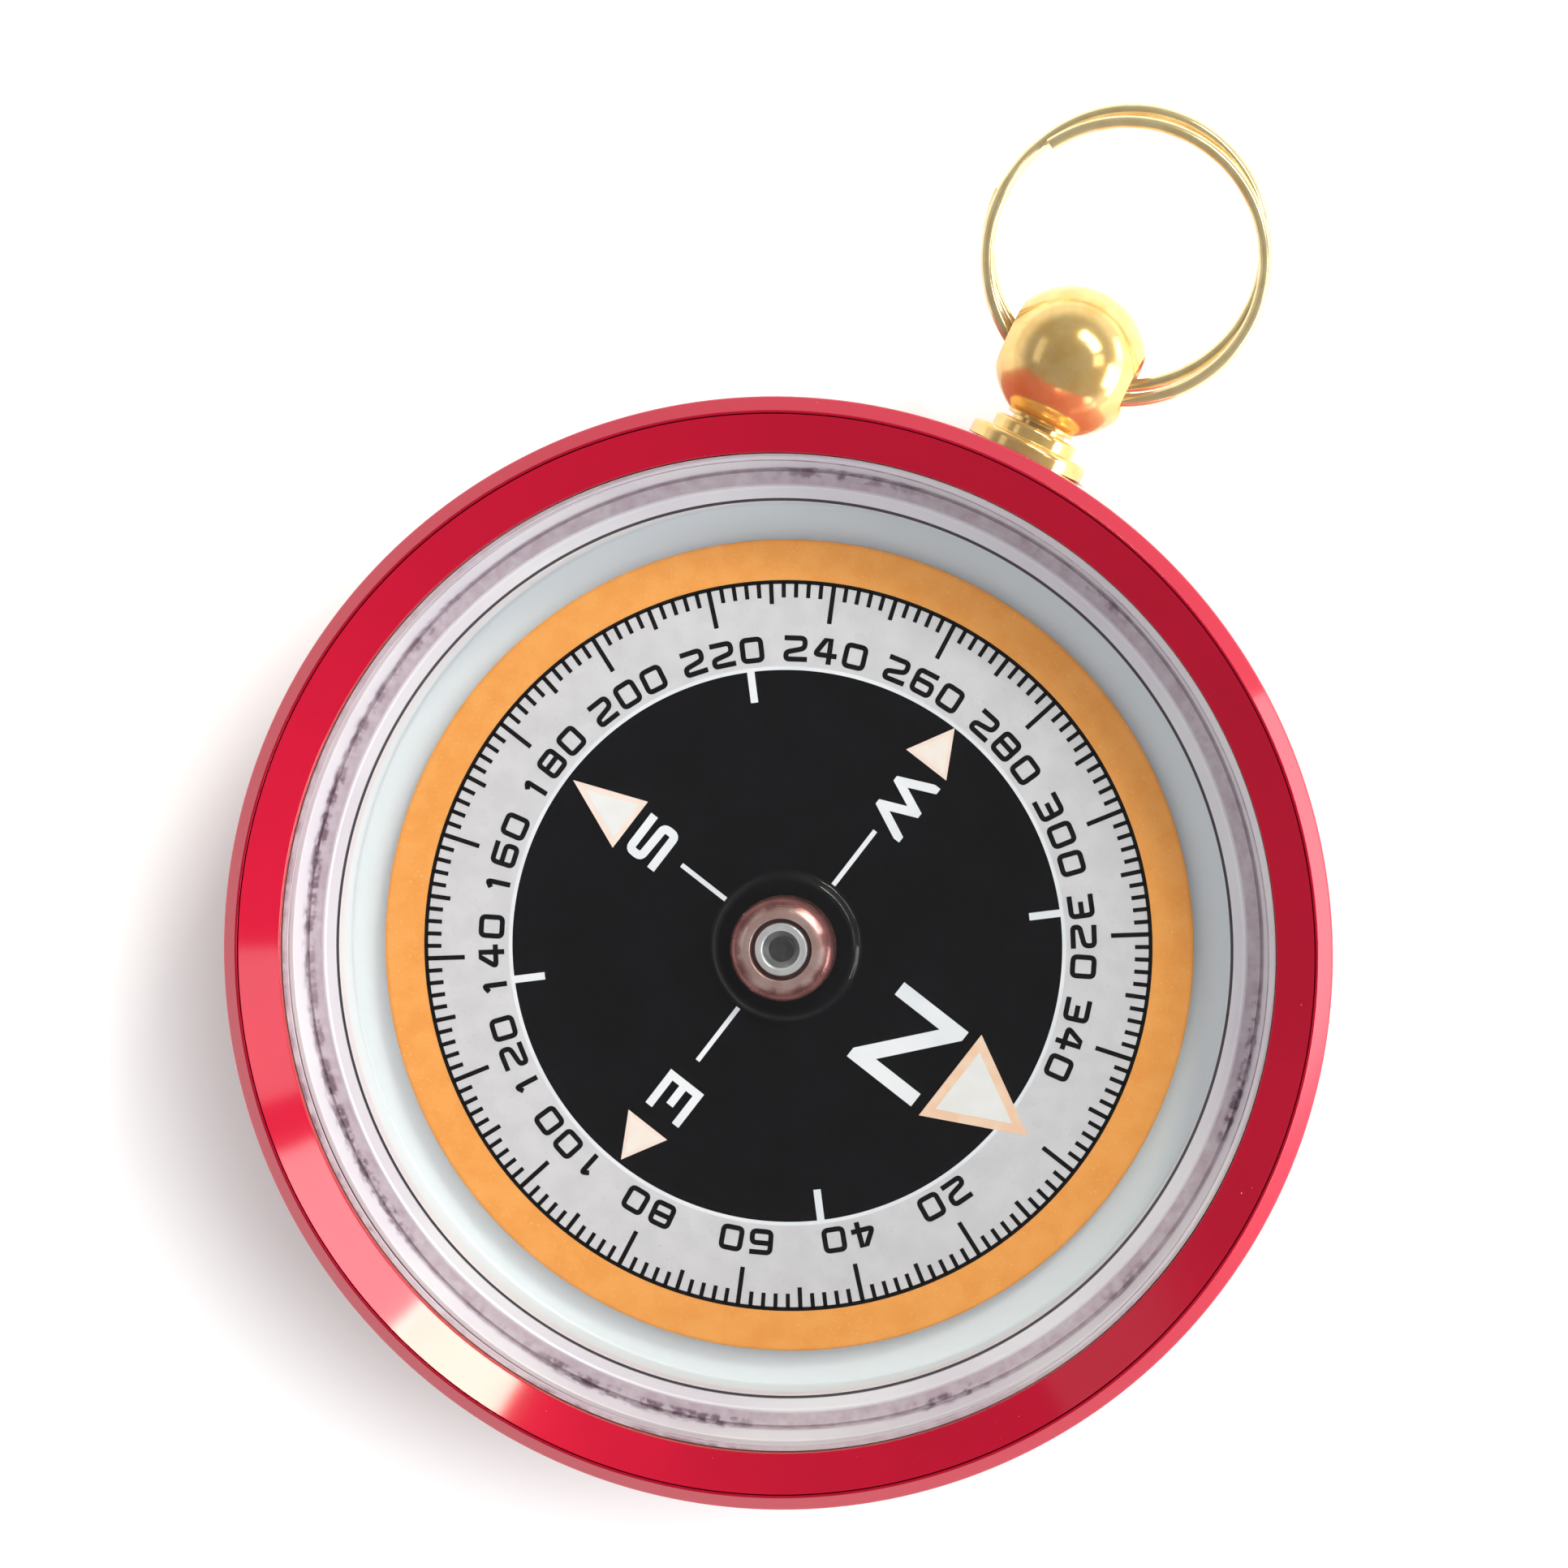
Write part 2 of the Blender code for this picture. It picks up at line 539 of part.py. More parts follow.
# Crown stem: a ball on a short neck, with a shank in the case's wall, and the ring's cross hole
neck_angle = math.degrees(math.asin(CROWN_NECK / CROWN_BALL)) - 90.0
stem_outline = [
    *arc((0.0, 0.0), CROWN_BALL, 90.0, neck_angle, 3 * ROUND_STEPS + 4),
    (CROWN_NECK, NECK_BASE - BALL_REACH),
    (CROWN_SHANK, NECK_BASE - BALL_REACH),
    (CROWN_SHANK, BLIND_END + SEAT_GAP - BALL_REACH),
    (0.0, BLIND_END + SEAT_GAP - BALL_REACH),
]
stem_outline[0] = (0.0, CROWN_BALL)
crown_place = (0.0, BALL_REACH, CROWN_HEIGHT)
crown_stem = turned("crown_stem", stem_outline, SMALL_STEPS, GOLD_PLATE, closed=False,
                    place=crown_place, turn=ALONG_Y)
cross_hole = cylinder("cross_hole_cutter", CROWN_HOLE, 3 * CROWN_BALL, crown_place, ALONG_X)
combine(crown_stem, cross_hole, "DIFFERENCE")

# Crown collar: a flange on the case's spot face with a rounded bead over it
bead_round = CROWN_BEAD_LENGTH / 2
flange_round = CROWN_FLANGE_THICKNESS / 2
bead_side = arc((CROWN_BEAD - bead_round, CROWN_FLANGE_THICKNESS + bead_round), bead_round,
                90.0, -45.0, ROUND_STEPS)
flange_side = arc((CROWN_FLANGE - flange_round, flange_round), flange_round, 90.0, 0.0, ROUND_STEPS)
crown_collar_outline = [
    (CROWN_SHANK + SEAT_GAP, CROWN_FLANGE_THICKNESS + CROWN_BEAD_LENGTH),
    *bead_side,
    *flange_side,
    (CROWN_FLANGE, 0.0),
    (CROWN_SHANK + SEAT_GAP, 0.0),
]
turned("crown_collar", crown_collar_outline, SMALL_STEPS, GOLD_PLATE, closed=True,
       place=(0.0, FLANGE_BASE, CROWN_HEIGHT), turn=ALONG_Y)


# Split ring: one wire of two turns, which steps from the lower turn to the upper one
ring_hinge = add_object("ring_hinge", None, PARTS, crown_place)


def smooth_step(value):
    value = min(max(value, 0.0), 1.0)
    return value * value * (3.0 - 2.0 * value)


def ring_points():
    """The wire's middle line, from the ring's hinge, as it runs twice round."""
    first = RING_STEP_AT + RING_STEP_HALF
    last = RING_STEP_AT + 4 * math.pi - RING_STEP_HALF
    count = 2 * RING_STEPS
    pitch = RING_WIRE + RING_TURN_GAP
    points = []
    for i in range(count + 1):
        angle = first + (last - first) * i / count
        past_step = angle - (RING_STEP_AT + 2 * math.pi)
        climb = smooth_step(past_step / (2 * RING_STEP_HALF) + 0.5)
        drift = smooth_step(past_step / math.pi + 0.5)
        centre_x = RING_SPLAY[0] * drift
        centre_y = RING_RADIUS - RING_HANG + RING_SPLAY[1] * (drift - 0.5)
        points.append((centre_x + RING_RADIUS * math.cos(angle),
                       centre_y + RING_RADIUS * math.sin(angle),
                       pitch * (climb - 0.5)))
    return points


ring_curve = bpy.data.curves.new("split_ring", "CURVE")
ring_curve.dimensions = "3D"
ring_curve.bevel_depth = RING_WIRE / 2
ring_curve.bevel_resolution = 2
ring_curve.use_fill_caps = True
ring_line = ring_curve.splines.new("POLY")
line = ring_points()
ring_line.points.add(len(line) - 1)
for point, place in zip(ring_line.points, line):
    point.co = (*place, 1.0)
ring_line.use_smooth = True
ring_curve.materials.append(GOLD_WIRE)
add_object("split_ring", ring_curve, PARTS, parent=ring_hinge)

bpy.context.view_layer.update()
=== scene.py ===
# Hiking compass, its looks: a red case, a floating dial under a clear crystal, a gold crown and ring.
# Metres, +Z up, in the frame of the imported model. The printed north lies 11.8 degrees clockwise of +X.

import math

import bmesh
import bpy
from mathutils import Matrix, Vector


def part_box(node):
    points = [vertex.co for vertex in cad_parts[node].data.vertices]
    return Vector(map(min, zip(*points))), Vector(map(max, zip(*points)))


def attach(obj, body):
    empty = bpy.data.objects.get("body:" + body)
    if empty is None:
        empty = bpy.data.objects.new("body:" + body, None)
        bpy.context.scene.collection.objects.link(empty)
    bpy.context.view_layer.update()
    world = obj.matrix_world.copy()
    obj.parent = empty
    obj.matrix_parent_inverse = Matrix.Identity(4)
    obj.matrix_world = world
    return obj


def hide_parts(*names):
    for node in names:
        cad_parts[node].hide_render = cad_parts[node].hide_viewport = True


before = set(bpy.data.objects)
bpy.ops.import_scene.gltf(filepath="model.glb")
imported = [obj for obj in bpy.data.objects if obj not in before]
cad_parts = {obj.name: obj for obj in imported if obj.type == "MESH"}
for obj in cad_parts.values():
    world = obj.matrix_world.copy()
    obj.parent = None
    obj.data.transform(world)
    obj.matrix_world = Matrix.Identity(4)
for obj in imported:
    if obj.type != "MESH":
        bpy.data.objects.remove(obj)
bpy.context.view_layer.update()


# Case body: the cup of the compass, turned from aluminium bar and dyed red by anodising.
# Its mouth is stepped for the crystal and the bezel, and its rim has a bright cut chamfer.
# The crown sits on a flat milled in its side, over a blind threaded hole.
MM = 0.001
SEAT_GAP = 0.2 * MM
TURNING_STEPS = 256
CORNER_STEPS = 4
MOST_OF_A_SIDE = 0.45
HOLD_PAST_ROUND = 1.1
WELD = 1e-7
SMOOTH_UP_TO = math.radians(35.0)


def rounded(corners, closed, holding=True):
    """Points of an outline whose corners are (x, y, ease): each is cut back by its ease and rounded.
    A holding point beside each end of the round keeps the flat next to it flat in its shading."""
    points = []
    last = len(corners) - 1
    for i, (x, y, ease) in enumerate(corners):
        here = Vector((x, y))
        if ease == 0.0 or (not closed and i in (0, last)):
            points.append(here)
            continue
        back = Vector(corners[i - 1][:2]) - here
        on = Vector(corners[(i + 1) % (last + 1)][:2]) - here
        ease = min(ease, MOST_OF_A_SIDE * back.length, MOST_OF_A_SIDE * on.length)
        back.normalize()
        on.normalize()
        if holding:
            points.append(here + HOLD_PAST_ROUND * ease * back)
        for step in range(CORNER_STEPS + 1):
            t = step / CORNER_STEPS
            points.append(here + ease * (back * (1 - t) ** 2 + on * t ** 2))
        if holding:
            points.append(here + HOLD_PAST_ROUND * ease * on)
    return points


def shade(mesh):
    """Shades a mesh smooth, apart from its sharp edges."""
    mesh.shade_smooth()
    mesh.set_sharp_from_angle(angle=SMOOTH_UP_TO)


def placed(name, data):
    """An object of the scene, at the origin, from a mesh, curve, lamp or camera."""
    piece = bpy.data.objects.new(name, data)
    bpy.context.scene.collection.objects.link(piece)
    return piece


def new_piece(name, shape):
    """A piece from a bmesh, with its faces outwards."""
    bmesh.ops.recalc_face_normals(shape, faces=shape.faces)
    mesh = bpy.data.meshes.new(name)
    shape.to_mesh(mesh)
    shape.free()
    shade(mesh)
    return placed(name, mesh)


def turned(name, corners, closed=True, steps=TURNING_STEPS, place=None):
    """A turned piece: an outline of (radius, height, ease) goes round the Z axis, then to its place."""
    shape = bmesh.new()
    rim = [shape.verts.new((point.x, 0.0, point.y)) for point in rounded(corners, closed)]
    line = [shape.edges.new(pair) for pair in zip(rim, rim[1:])]
    if closed:
        line.append(shape.edges.new((rim[-1], rim[0])))
    bmesh.ops.spin(shape, geom=rim + line, cent=(0, 0, 0), axis=(0, 0, 1), angle=2 * math.pi,
                   steps=steps, use_merge=True)
    bmesh.ops.remove_doubles(shape, verts=shape.verts, dist=WELD)
    if place is not None:
        shape.transform(place)
    return new_piece(name, shape)


def settled_mesh(piece):
    """The mesh that a piece's modifiers or curve give."""
    bpy.context.view_layer.update()
    return bpy.data.meshes.new_from_object(piece.evaluated_get(bpy.context.evaluated_depsgraph_get()))


def settle(piece):
    """Replaces a piece's mesh by its settled one, and takes its modifiers off."""
    mesh = settled_mesh(piece)
    piece.modifiers.clear()
    piece.data = mesh
    shade(mesh)


def carve(piece, *cutters):
    """Cuts each cutter out of the piece and throws the cutter away."""
    for cutter in cutters:
        cut = piece.modifiers.new("Cut", "BOOLEAN")
        cut.object = cutter
        cut.operation = "DIFFERENCE"
        cut.solver = "EXACT"
        cutter.hide_render = True
    settle(piece)
    for cutter in cutters:
        bpy.data.objects.remove(cutter)


class Signal:
    """What a node's output carries to the next nodes. Python's operators add the Math nodes."""

    def __init__(self, wiring, socket):
        self.wiring = wiring
        self.socket = socket

    def maths(self, operation, *values):
        return self.wiring.node("ShaderNodeMath", {"operation": operation}, dict(enumerate(values)))

    def __add__(self, other):
        return self.maths("ADD", self, other)

    def __sub__(self, other):
        return self.maths("SUBTRACT", self, other)

    def __rsub__(self, other):
        return self.maths("SUBTRACT", other, self)

    def __mul__(self, other):
        return self.maths("MULTIPLY", self, other)

    __radd__ = __add__
    __rmul__ = __mul__


class Wiring:
    """A node tree in the making: of a material, a row of ticks or the studio's surround."""

    def __init__(self, tree):
        self.tree = tree

    def node(self, kind, settings=None, inputs=None, output=0):
        """Adds any node: its settings first, then the values or links of its sockets."""
        node = self.tree.nodes.new(kind)
        for label, value in (settings or {}).items():
            setattr(node, label, value)
        for label, value in (inputs or {}).items():
            self.feed(node.inputs[label], value)
        return Signal(self, node.outputs[output])

    def feed(self, socket, value):
        if isinstance(value, Signal):
            self.tree.links.new(value.socket, socket)
        else:
            socket.default_value = value

    def mix(self, share, first, second):
        """A colour between two, by a share from 0 to 1. Mix takes its colours at sockets 6 and 7."""
        return self.node("ShaderNodeMix", {"data_type": "RGBA"}, {0: share, 6: first, 7: second}, 2)

    def rise(self, value, start, end, low=0.0, high=1.0):
        """A smooth step from low to high as the value goes from start to end."""
        inputs = {"Value": value, "From Min": start, "From Max": end, "To Min": low, "To Max": high}
        return self.node("ShaderNodeMapRange", {"interpolation_type": "SMOOTHSTEP"}, inputs)

    def seen_by(self, *rays):
        """1 for these rays of the Light Path node, such as Is Camera Ray, and 0 for all others."""
        path = self.tree.nodes.new("ShaderNodeLightPath")
        seen = Signal(self, path.outputs[rays[0]])
        for ray in rays[1:]:
            seen = seen.maths("MAXIMUM", seen, Signal(self, path.outputs[ray]))
        return seen


class Finish(Wiring):
    """A material in the making. Its patterns lie on the piece's Object coordinates, in metres."""

    def __init__(self, name, **constants):
        self.material = bpy.data.materials.new(name)
        self.material.use_nodes = True
        super().__init__(self.material.node_tree)
        self.shader = self.tree.nodes["Principled BSDF"]
        self.output = self.tree.nodes["Material Output"]
        for label, value in constants.items():
            socket = label.replace("_", " ").title().replace("Ior", "IOR")
            self.shader.inputs[socket].default_value = value
        self.place = self.node("ShaderNodeTexCoord", output="Object")

    def set(self, label, value):
        self.feed(self.shader.inputs[label], value)

    def grain(self, size, detail=2.0, vector=None):
        """Noise from 0 to 1 whose patches are about this size in metres, over the place or a vector."""
        inputs = {"Vector": vector or self.place, "Scale": 1.0 / size, "Detail": detail}
        return self.node("ShaderNodeTexNoise", {}, inputs)

    def across(self, centre=(0.0, 0.0, 0.0), kept=(1.0, 1.0, 0.0)):
        """Distance from a turning axis through the centre, along the axis that isn't kept."""
        arm = self.node("ShaderNodeVectorMath", {"operation": "SUBTRACT"}, {0: self.place, 1: centre})
        flat = self.node("ShaderNodeVectorMath", {"operation": "MULTIPLY"}, {0: arm, 1: kept})
        return self.node("ShaderNodeVectorMath", {"operation": "LENGTH"}, {0: flat}, "Value")

    def part(self, axis):
        """One part of the place: X, Y or Z."""
        return self.node("ShaderNodeSeparateXYZ", {}, {0: self.place}, axis)

    def lathe_lines(self, radius, along, pitch):
        """Fine lines left by a turning tool: noise that changes only across them."""
        run = self.node("ShaderNodeCombineXYZ", {}, {0: radius, 1: along, 2: 0.0})
        return self.grain(pitch, 3.0, run)

    def bump(self, height, depth):
        self.set("Normal", self.node("ShaderNodeBump", {}, {"Height": height, "Distance": depth}))


def srgb(red, green, blue):
    """A colour read as 0 to 255 on a screen, as the linear values that a shader takes."""
    def linear(value):
        value = value / 255
        return value / 12.92 if value <= 0.04045 else ((value + 0.055) / 1.055) ** 2.4
    return (linear(red), linear(green), linear(blue), 1.0)


case_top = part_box("case_body")[1]
case_radius = case_top.x
case_height = case_top.z
bore_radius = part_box("inner_ring")[1].x + SEAT_GAP
mouth_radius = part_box("crystal")[1].x + SEAT_GAP
ridge_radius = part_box("bezel_ring")[1].x + SEAT_GAP
floor_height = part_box("base_disc")[0].z - SEAT_GAP
ledge_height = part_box("crystal_gasket")[0].z - SEAT_GAP
bezel_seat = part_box("bezel_ring")[0].z - SEAT_GAP
socket_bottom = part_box("pivot_base")[0].z - SEAT_GAP
socket_radius = 1.7 * MM
rim_chamfer = 0.65 * MM
back_chamfer = 0.6 * MM
edge_ease = 0.04 * MM
crisp_ease = 0.02 * MM

case = turned("case_shell", [
    (0.0, socket_bottom, 0.0),
    (socket_radius, socket_bottom, 0.0),
    (socket_radius, floor_height, edge_ease),
    (bore_radius, floor_height, edge_ease),
    (bore_radius, ledge_height, edge_ease),
    (mouth_radius, ledge_height, edge_ease),
    (mouth_radius, bezel_seat, edge_ease),
    (ridge_radius, bezel_seat, edge_ease),
    (ridge_radius, case_height, crisp_ease),
    (case_radius - rim_chamfer, case_height, crisp_ease),
    (case_radius, case_height - rim_chamfer, 2 * edge_ease),
    (case_radius, back_chamfer, 2 * edge_ease),
    (case_radius - back_chamfer, 0.0, 2 * edge_ease),
    (0.0, 0.0, 0.0),
], closed=False)

crown_height = case_height / 2
ALONG_CROWN = Matrix.Rotation(math.radians(-90.0), 4, "X")
flange_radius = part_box("crown_collar")[1].x
shank_radius = 1.3 * MM
spot_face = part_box("crown_collar")[0].y - SEAT_GAP
shank_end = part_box("crown_stem")[0].y - SEAT_GAP
cut_length = 3.0 * MM
spot_place = Matrix.Translation((0.0, spot_face, crown_height)) @ ALONG_CROWN
hole_place = Matrix.Translation((0.0, shank_end, crown_height)) @ ALONG_CROWN


def round_cutter(name, radius, steps, place):
    """A round milling cutter that starts at its place."""
    return turned(name, [
        (0.0, 0.0, 0.0),
        (radius, 0.0, 0.0),
        (radius, cut_length, 0.0),
        (0.0, cut_length, 0.0),
    ], closed=False, steps=steps, place=place)


spot_cut = round_cutter("spot_cut", flange_radius + SEAT_GAP, 64, spot_place)
hole_cut = round_cutter("hole_cut", shank_radius + SEAT_GAP, 48, hole_place)
carve(case, spot_cut, hole_cut)


def anodised(name, dye, worn_from, worn_to):
    """Red dyed aluminium: fine tool lines, a few pale nicks, and thinner dye between two radii."""
    line_pitch = 0.05 * MM
    nick_size = 0.16 * MM
    patch_size = 2.5 * MM
    cloud_size = 4.0 * MM
    cloud_depth = 0.84
    thin_dye = srgb(196, 28, 58)
    bare_metal = srgb(250, 225, 225)
    finish = Finish(name, metallic=0.3, specular_ior_level=0.1, coat_weight=1.0, coat_roughness=0.08)
    radius = finish.across()
    height = finish.part("Z")
    lines = finish.lathe_lines(radius, height, line_pitch)
    cloud = finish.grain(cloud_size)
    nicks = finish.rise(finish.grain(nick_size, 1.0), 0.79, 0.83)
    patches = finish.rise(finish.grain(patch_size, 1.0), 0.60, 0.70)
    at_rim = finish.rise(height, case_height - 1.4 * rim_chamfer, case_height - rim_chamfer)
    worn = finish.rise(radius, worn_from, worn_to) * at_rim
    deep = finish.mix(cloud, dye, tuple(cloud_depth * part for part in dye[:3]) + (1.0,))
    thin = finish.mix(worn, deep, thin_dye)
    finish.set("Base Color", finish.mix(nicks * patches * 0.8, thin, bare_metal))
    finish.set("Roughness", lines * 0.14 + cloud * 0.06 + 0.36)
    finish.bump(lines, 0.001 * MM)
    return finish.material


# Painted shade: the case's dye is set darker than the bezel's, for the shade on the case's side wall.
case_red_shaded = anodised("red_anodised_case_shaded", srgb(192, 2, 45), case_radius - 1.1 * rim_chamfer,
                    case_radius - 0.9 * rim_chamfer)
case.data.materials.clear()
case.data.materials.append(case_red_shaded)
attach(case, "case")
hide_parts("case_body")


# Base disc: a thin aluminium plate painted a cool white, dropped in on the case's floor.
# It carries the pivot and the inner ring, and lies hidden under the dial.
disc_low, disc_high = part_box("base_disc")
disc = turned("floor_disc", [
    (disc_high.x, disc_high.z, edge_ease),
    (disc_high.x, disc_low.z, edge_ease),
    (socket_radius, disc_low.z, edge_ease),
    (socket_radius, disc_high.z, edge_ease),
])
disc_paint = Finish("cool_white_paint", roughness=0.5)
disc_mottle = disc_paint.grain(1.6 * MM, 4.0)
disc_speckle = disc_paint.grain(0.12 * MM, 2.0)
disc_paint.set("Base Color", disc_paint.mix(disc_mottle, srgb(240, 244, 246), srgb(216, 226, 232)))
disc_paint.bump(disc_speckle, 0.01 * MM)
disc.data.materials.append(disc_paint.material)
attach(disc, "case")
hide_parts("base_disc")


# Pivot: a turned brass foot pressed through the disc, and a ground steel needle held in its post.
# Both are hidden under the dial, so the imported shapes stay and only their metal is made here.
TOOL_PITCH = 0.04 * MM
DULL_PATCH = 0.9 * MM


def machined(name, tint, dull, shine, metallic=1.0):
    """Bare turned metal: tool lines round the axis, and cloudy patches where it has dulled."""
    finish = Finish(name, metallic=metallic)
    lines = finish.lathe_lines(finish.across(), finish.part("Z"), TOOL_PITCH)
    cloud = finish.rise(finish.grain(DULL_PATCH, 4.0), 0.35, 0.7)
    finish.set("Base Color", finish.mix(cloud, tint, dull))
    finish.set("Roughness", lines * 0.12 + cloud * 0.1 + (shine - 0.1))
    finish.bump(lines, 0.002 * MM)
    return finish.material


def keep(node, material):
    """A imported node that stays, in a better material."""
    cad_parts[node].material_slots[0].material = material


brass = machined("turned_brass", srgb(214, 178, 98), srgb(176, 138, 72), 0.28)
keep("pivot_base", brass)
keep("hub_collar", brass)
keep("pivot_needle", machined("ground_steel", srgb(205, 205, 208), srgb(170, 172, 178), 0.18))


# Inner ring: a moulded ring that lines the case from the floor disc up to the crystal.
# It is sprayed silver white. A cone under the crystal meets a step over the dial's well,
# and a shelf in the well shows as a pale ring round the dial and runs under its edge.
ring_low, ring_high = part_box("inner_ring")
well_radius = 20.35 * MM
lip_width = 0.25 * MM
lip_radius = ring_high.x - lip_width
cone_width = 0.3 * MM
cone_foot = lip_radius - cone_width
groove_width = 0.12 * MM
bead_ring = 21.05 * MM
bead_rise = 0.07 * MM
bead_half = 1.5 * bead_rise
step_depth = 1.7 * MM
step_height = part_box("crystal")[0].z - step_depth
step_fall = 0.15 * MM
step_edge = step_height - step_fall
bead_foot = step_height - 0.5 * step_fall
edge_land = 0.03 * MM
edge_groove = 0.13 * MM
edge_groove_inner = well_radius + edge_land
edge_groove_outer = well_radius + edge_land + edge_groove
shelf_width = 3.2 * MM
shelf_depth = 0.5 * MM
shelf_thickness = 0.8 * MM
shelf_radius = well_radius - shelf_width
shelf_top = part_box("dial_card")[0].z - shelf_depth
shelf_bottom = shelf_top - shelf_thickness
shelf_fillet = 0.15 * MM
step_ease = 0.03 * MM
stepped_ring = turned("stepped_ring", [
    (ring_high.x, ring_high.z, edge_ease),
    (ring_high.x, ring_low.z, edge_ease),
    (well_radius, ring_low.z, edge_ease),
    (well_radius, shelf_bottom, edge_ease),
    (shelf_radius, shelf_bottom, edge_ease),
    (shelf_radius, shelf_top, edge_ease),
    (well_radius, shelf_top, shelf_fillet),
    (well_radius, step_edge, crisp_ease),
    (edge_groove_inner, step_edge, 0.5 * crisp_ease),
    (edge_groove_inner, step_edge - edge_groove, 0.0),
    (edge_groove_outer, step_edge - edge_groove, 0.0),
    (edge_groove_outer, step_edge, crisp_ease),
    (bead_ring - bead_half, bead_foot, crisp_ease),
    (bead_ring, bead_foot + bead_rise, edge_ease),
    (bead_ring + bead_half, bead_foot, crisp_ease),
    (cone_foot - groove_width, step_height, step_ease),
    (cone_foot - groove_width, step_height - groove_width, 0.0),
    (cone_foot, step_height - groove_width, 0.0),
    (cone_foot, step_height, step_ease),
    (lip_radius, ring_high.z, 1.5 * edge_ease),
])
ring_paint = Finish("silver_white_spray", metallic=0.1)
ring_radius = ring_paint.across()
ring_drift = ring_paint.grain(9.0 * MM, 1.0)
ring_blotch = ring_paint.grain(0.5 * MM, 3.0)


def ring_band(inner, outer, soft):
    """1 between two radii of the ring and 0 outside them."""
    return (ring_paint.rise(ring_radius, inner - soft, inner)
            * ring_paint.rise(ring_radius, outer, outer + soft, 1.0, 0.0))


silver_white = srgb(248, 246, 250)
silver_shade = srgb(238, 232, 240)
pale_violet = srgb(172, 140, 154)
groove_violet = srgb(96, 62, 86)
# Painted shade: the small groove at the well's edge is painted near black, for the shadow line that runs
# round the well.
painted_groove_shade = srgb(60, 48, 56)
well_white = srgb(243, 250, 255)
well_from = step_height - 1.5 * MM
well_to = step_height - 0.9 * MM
violet_band = ring_band(bead_ring + 2 * bead_rise, cone_foot, 0.08 * MM)
violet_line = ring_band(cone_foot - 2.5 * groove_width, cone_foot, 0.15 * MM)
# Mask of that painted shade, inside the groove at the well's edge.
groove_shade_mask = ring_band(edge_groove_inner + 0.01 * MM, edge_groove_outer - 0.01 * MM, 0.02 * MM)
in_well = ring_paint.rise(ring_paint.part("Z"), well_from, well_to, 1.0, 0.0)
beads = ring_paint.rise(ring_blotch, 0.42, 0.62) * ring_paint.rise(ring_drift, 0.46, 0.60)
sprayed = ring_paint.mix(ring_paint.rise(ring_drift, 0.35, 0.65), silver_white, silver_shade)
banded = ring_paint.mix(violet_band * (ring_blotch * 0.7 + 0.25), sprayed, pale_violet)
lined = ring_paint.mix(violet_line * beads * 0.75, banded, groove_violet)
edged = ring_paint.mix(groove_shade_mask * 0.9, lined, painted_groove_shade)
ring_paint.set("Base Color", ring_paint.mix(in_well, edged, well_white))
ring_paint.set("Roughness", ring_blotch * 0.2 + 0.3)
ring_paint.bump(ring_blotch, 0.012 * MM)
stepped_ring.data.materials.append(ring_paint.material)
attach(stepped_ring, "case")
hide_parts("inner_ring")


# Dial card: a stamped disc with a low boss in the middle, printed in silk-screen inks.
# Black fills its middle, then come a white line, the silver scale ring, a black line and orange.
card_low, card_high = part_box("dial_card")
dial_radius = card_high.x
boss_top = card_high.z
card_thickness = 0.5 * MM
card_face = card_low.z + card_thickness
card_round = 0.4 * MM
boss_radius = 3.45 * MM
boss_slope = 0.3 * MM
card_hole = 1.9 * MM
INK = 0.008 * MM
black_edge = 12.68 * MM
white_line = 0.17 * MM
scale_edge = 16.70 * MM
scale_line = 0.18 * MM

card = turned("card_disc", [
    (card_hole, boss_top, 0.0),
    (boss_radius - boss_slope, boss_top, 0.16 * MM),
    (boss_radius, card_face, 0.12 * MM),
    (dial_radius, card_face, card_round),
    (dial_radius, card_low.z, 0.0),
    (card_hole, card_low.z, 0.0),
])


def ink(name, tint, shade, speck, specks=0.25, patch=3.0 * MM, **constants):
    """Silk-screen ink: a faint mottle between two tints, with fine specks and a dry grainy face."""
    speck_size = 0.11 * MM
    finish = Finish(name, specular_ior_level=0.1, **constants)
    mottle = finish.grain(patch, 3.0)
    dust = finish.rise(finish.grain(speck_size), 0.60, 0.80)
    cloudy = finish.mix(finish.rise(mottle, 0.3, 0.7), tint, shade)
    finish.set("Base Color", finish.mix(dust * specks, cloudy, speck))
    finish.set("Roughness", dust * 0.1 + 0.5)
    finish.bump(dust, 0.0004 * MM)
    return finish.material


def printed_ring(name, inner, outer, layers, material):
    """A flat ring of ink on the card's face. Layers counts the inks up to and with its own."""
    ring = turned(name, [
        (inner, card_face + (layers - 1) * INK, 0.0),
        (inner, card_face + layers * INK, 0.0),
        (outer, card_face + layers * INK, 0.0),
        (outer, card_face + (layers - 1) * INK, 0.0),
    ])
    ring.data.materials.append(material)
    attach(ring, "dial")


black_ink = ink("black_ink", srgb(8, 8, 12), srgb(12, 11, 16), srgb(60, 62, 70), 0.06,
                coat_weight=0.5, coat_roughness=0.08)
card.data.materials.append(black_ink)
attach(card, "dial")
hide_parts("dial_card")

white_ink = ink("white_ink", srgb(246, 247, 250), srgb(232, 236, 242), srgb(214, 218, 226))
silver_ink = ink("silver_ink", srgb(232, 231, 235), srgb(224, 223, 227), srgb(186, 186, 192), 0.5,
                 1.2 * MM, metallic=0.25)
orange_ink = ink("orange_ink", srgb(252, 174, 92), srgb(247, 165, 82), srgb(255, 206, 140), 0.7,
                 1.2 * MM)
printed_ring("white_ring_line", black_edge, black_edge + white_line, 1, white_ink)
printed_ring("silver_scale_ring", black_edge + white_line, scale_edge, 1, silver_ink)
printed_ring("scale_circle", scale_edge - scale_line / 2, scale_edge + scale_line / 2, 2, black_ink)

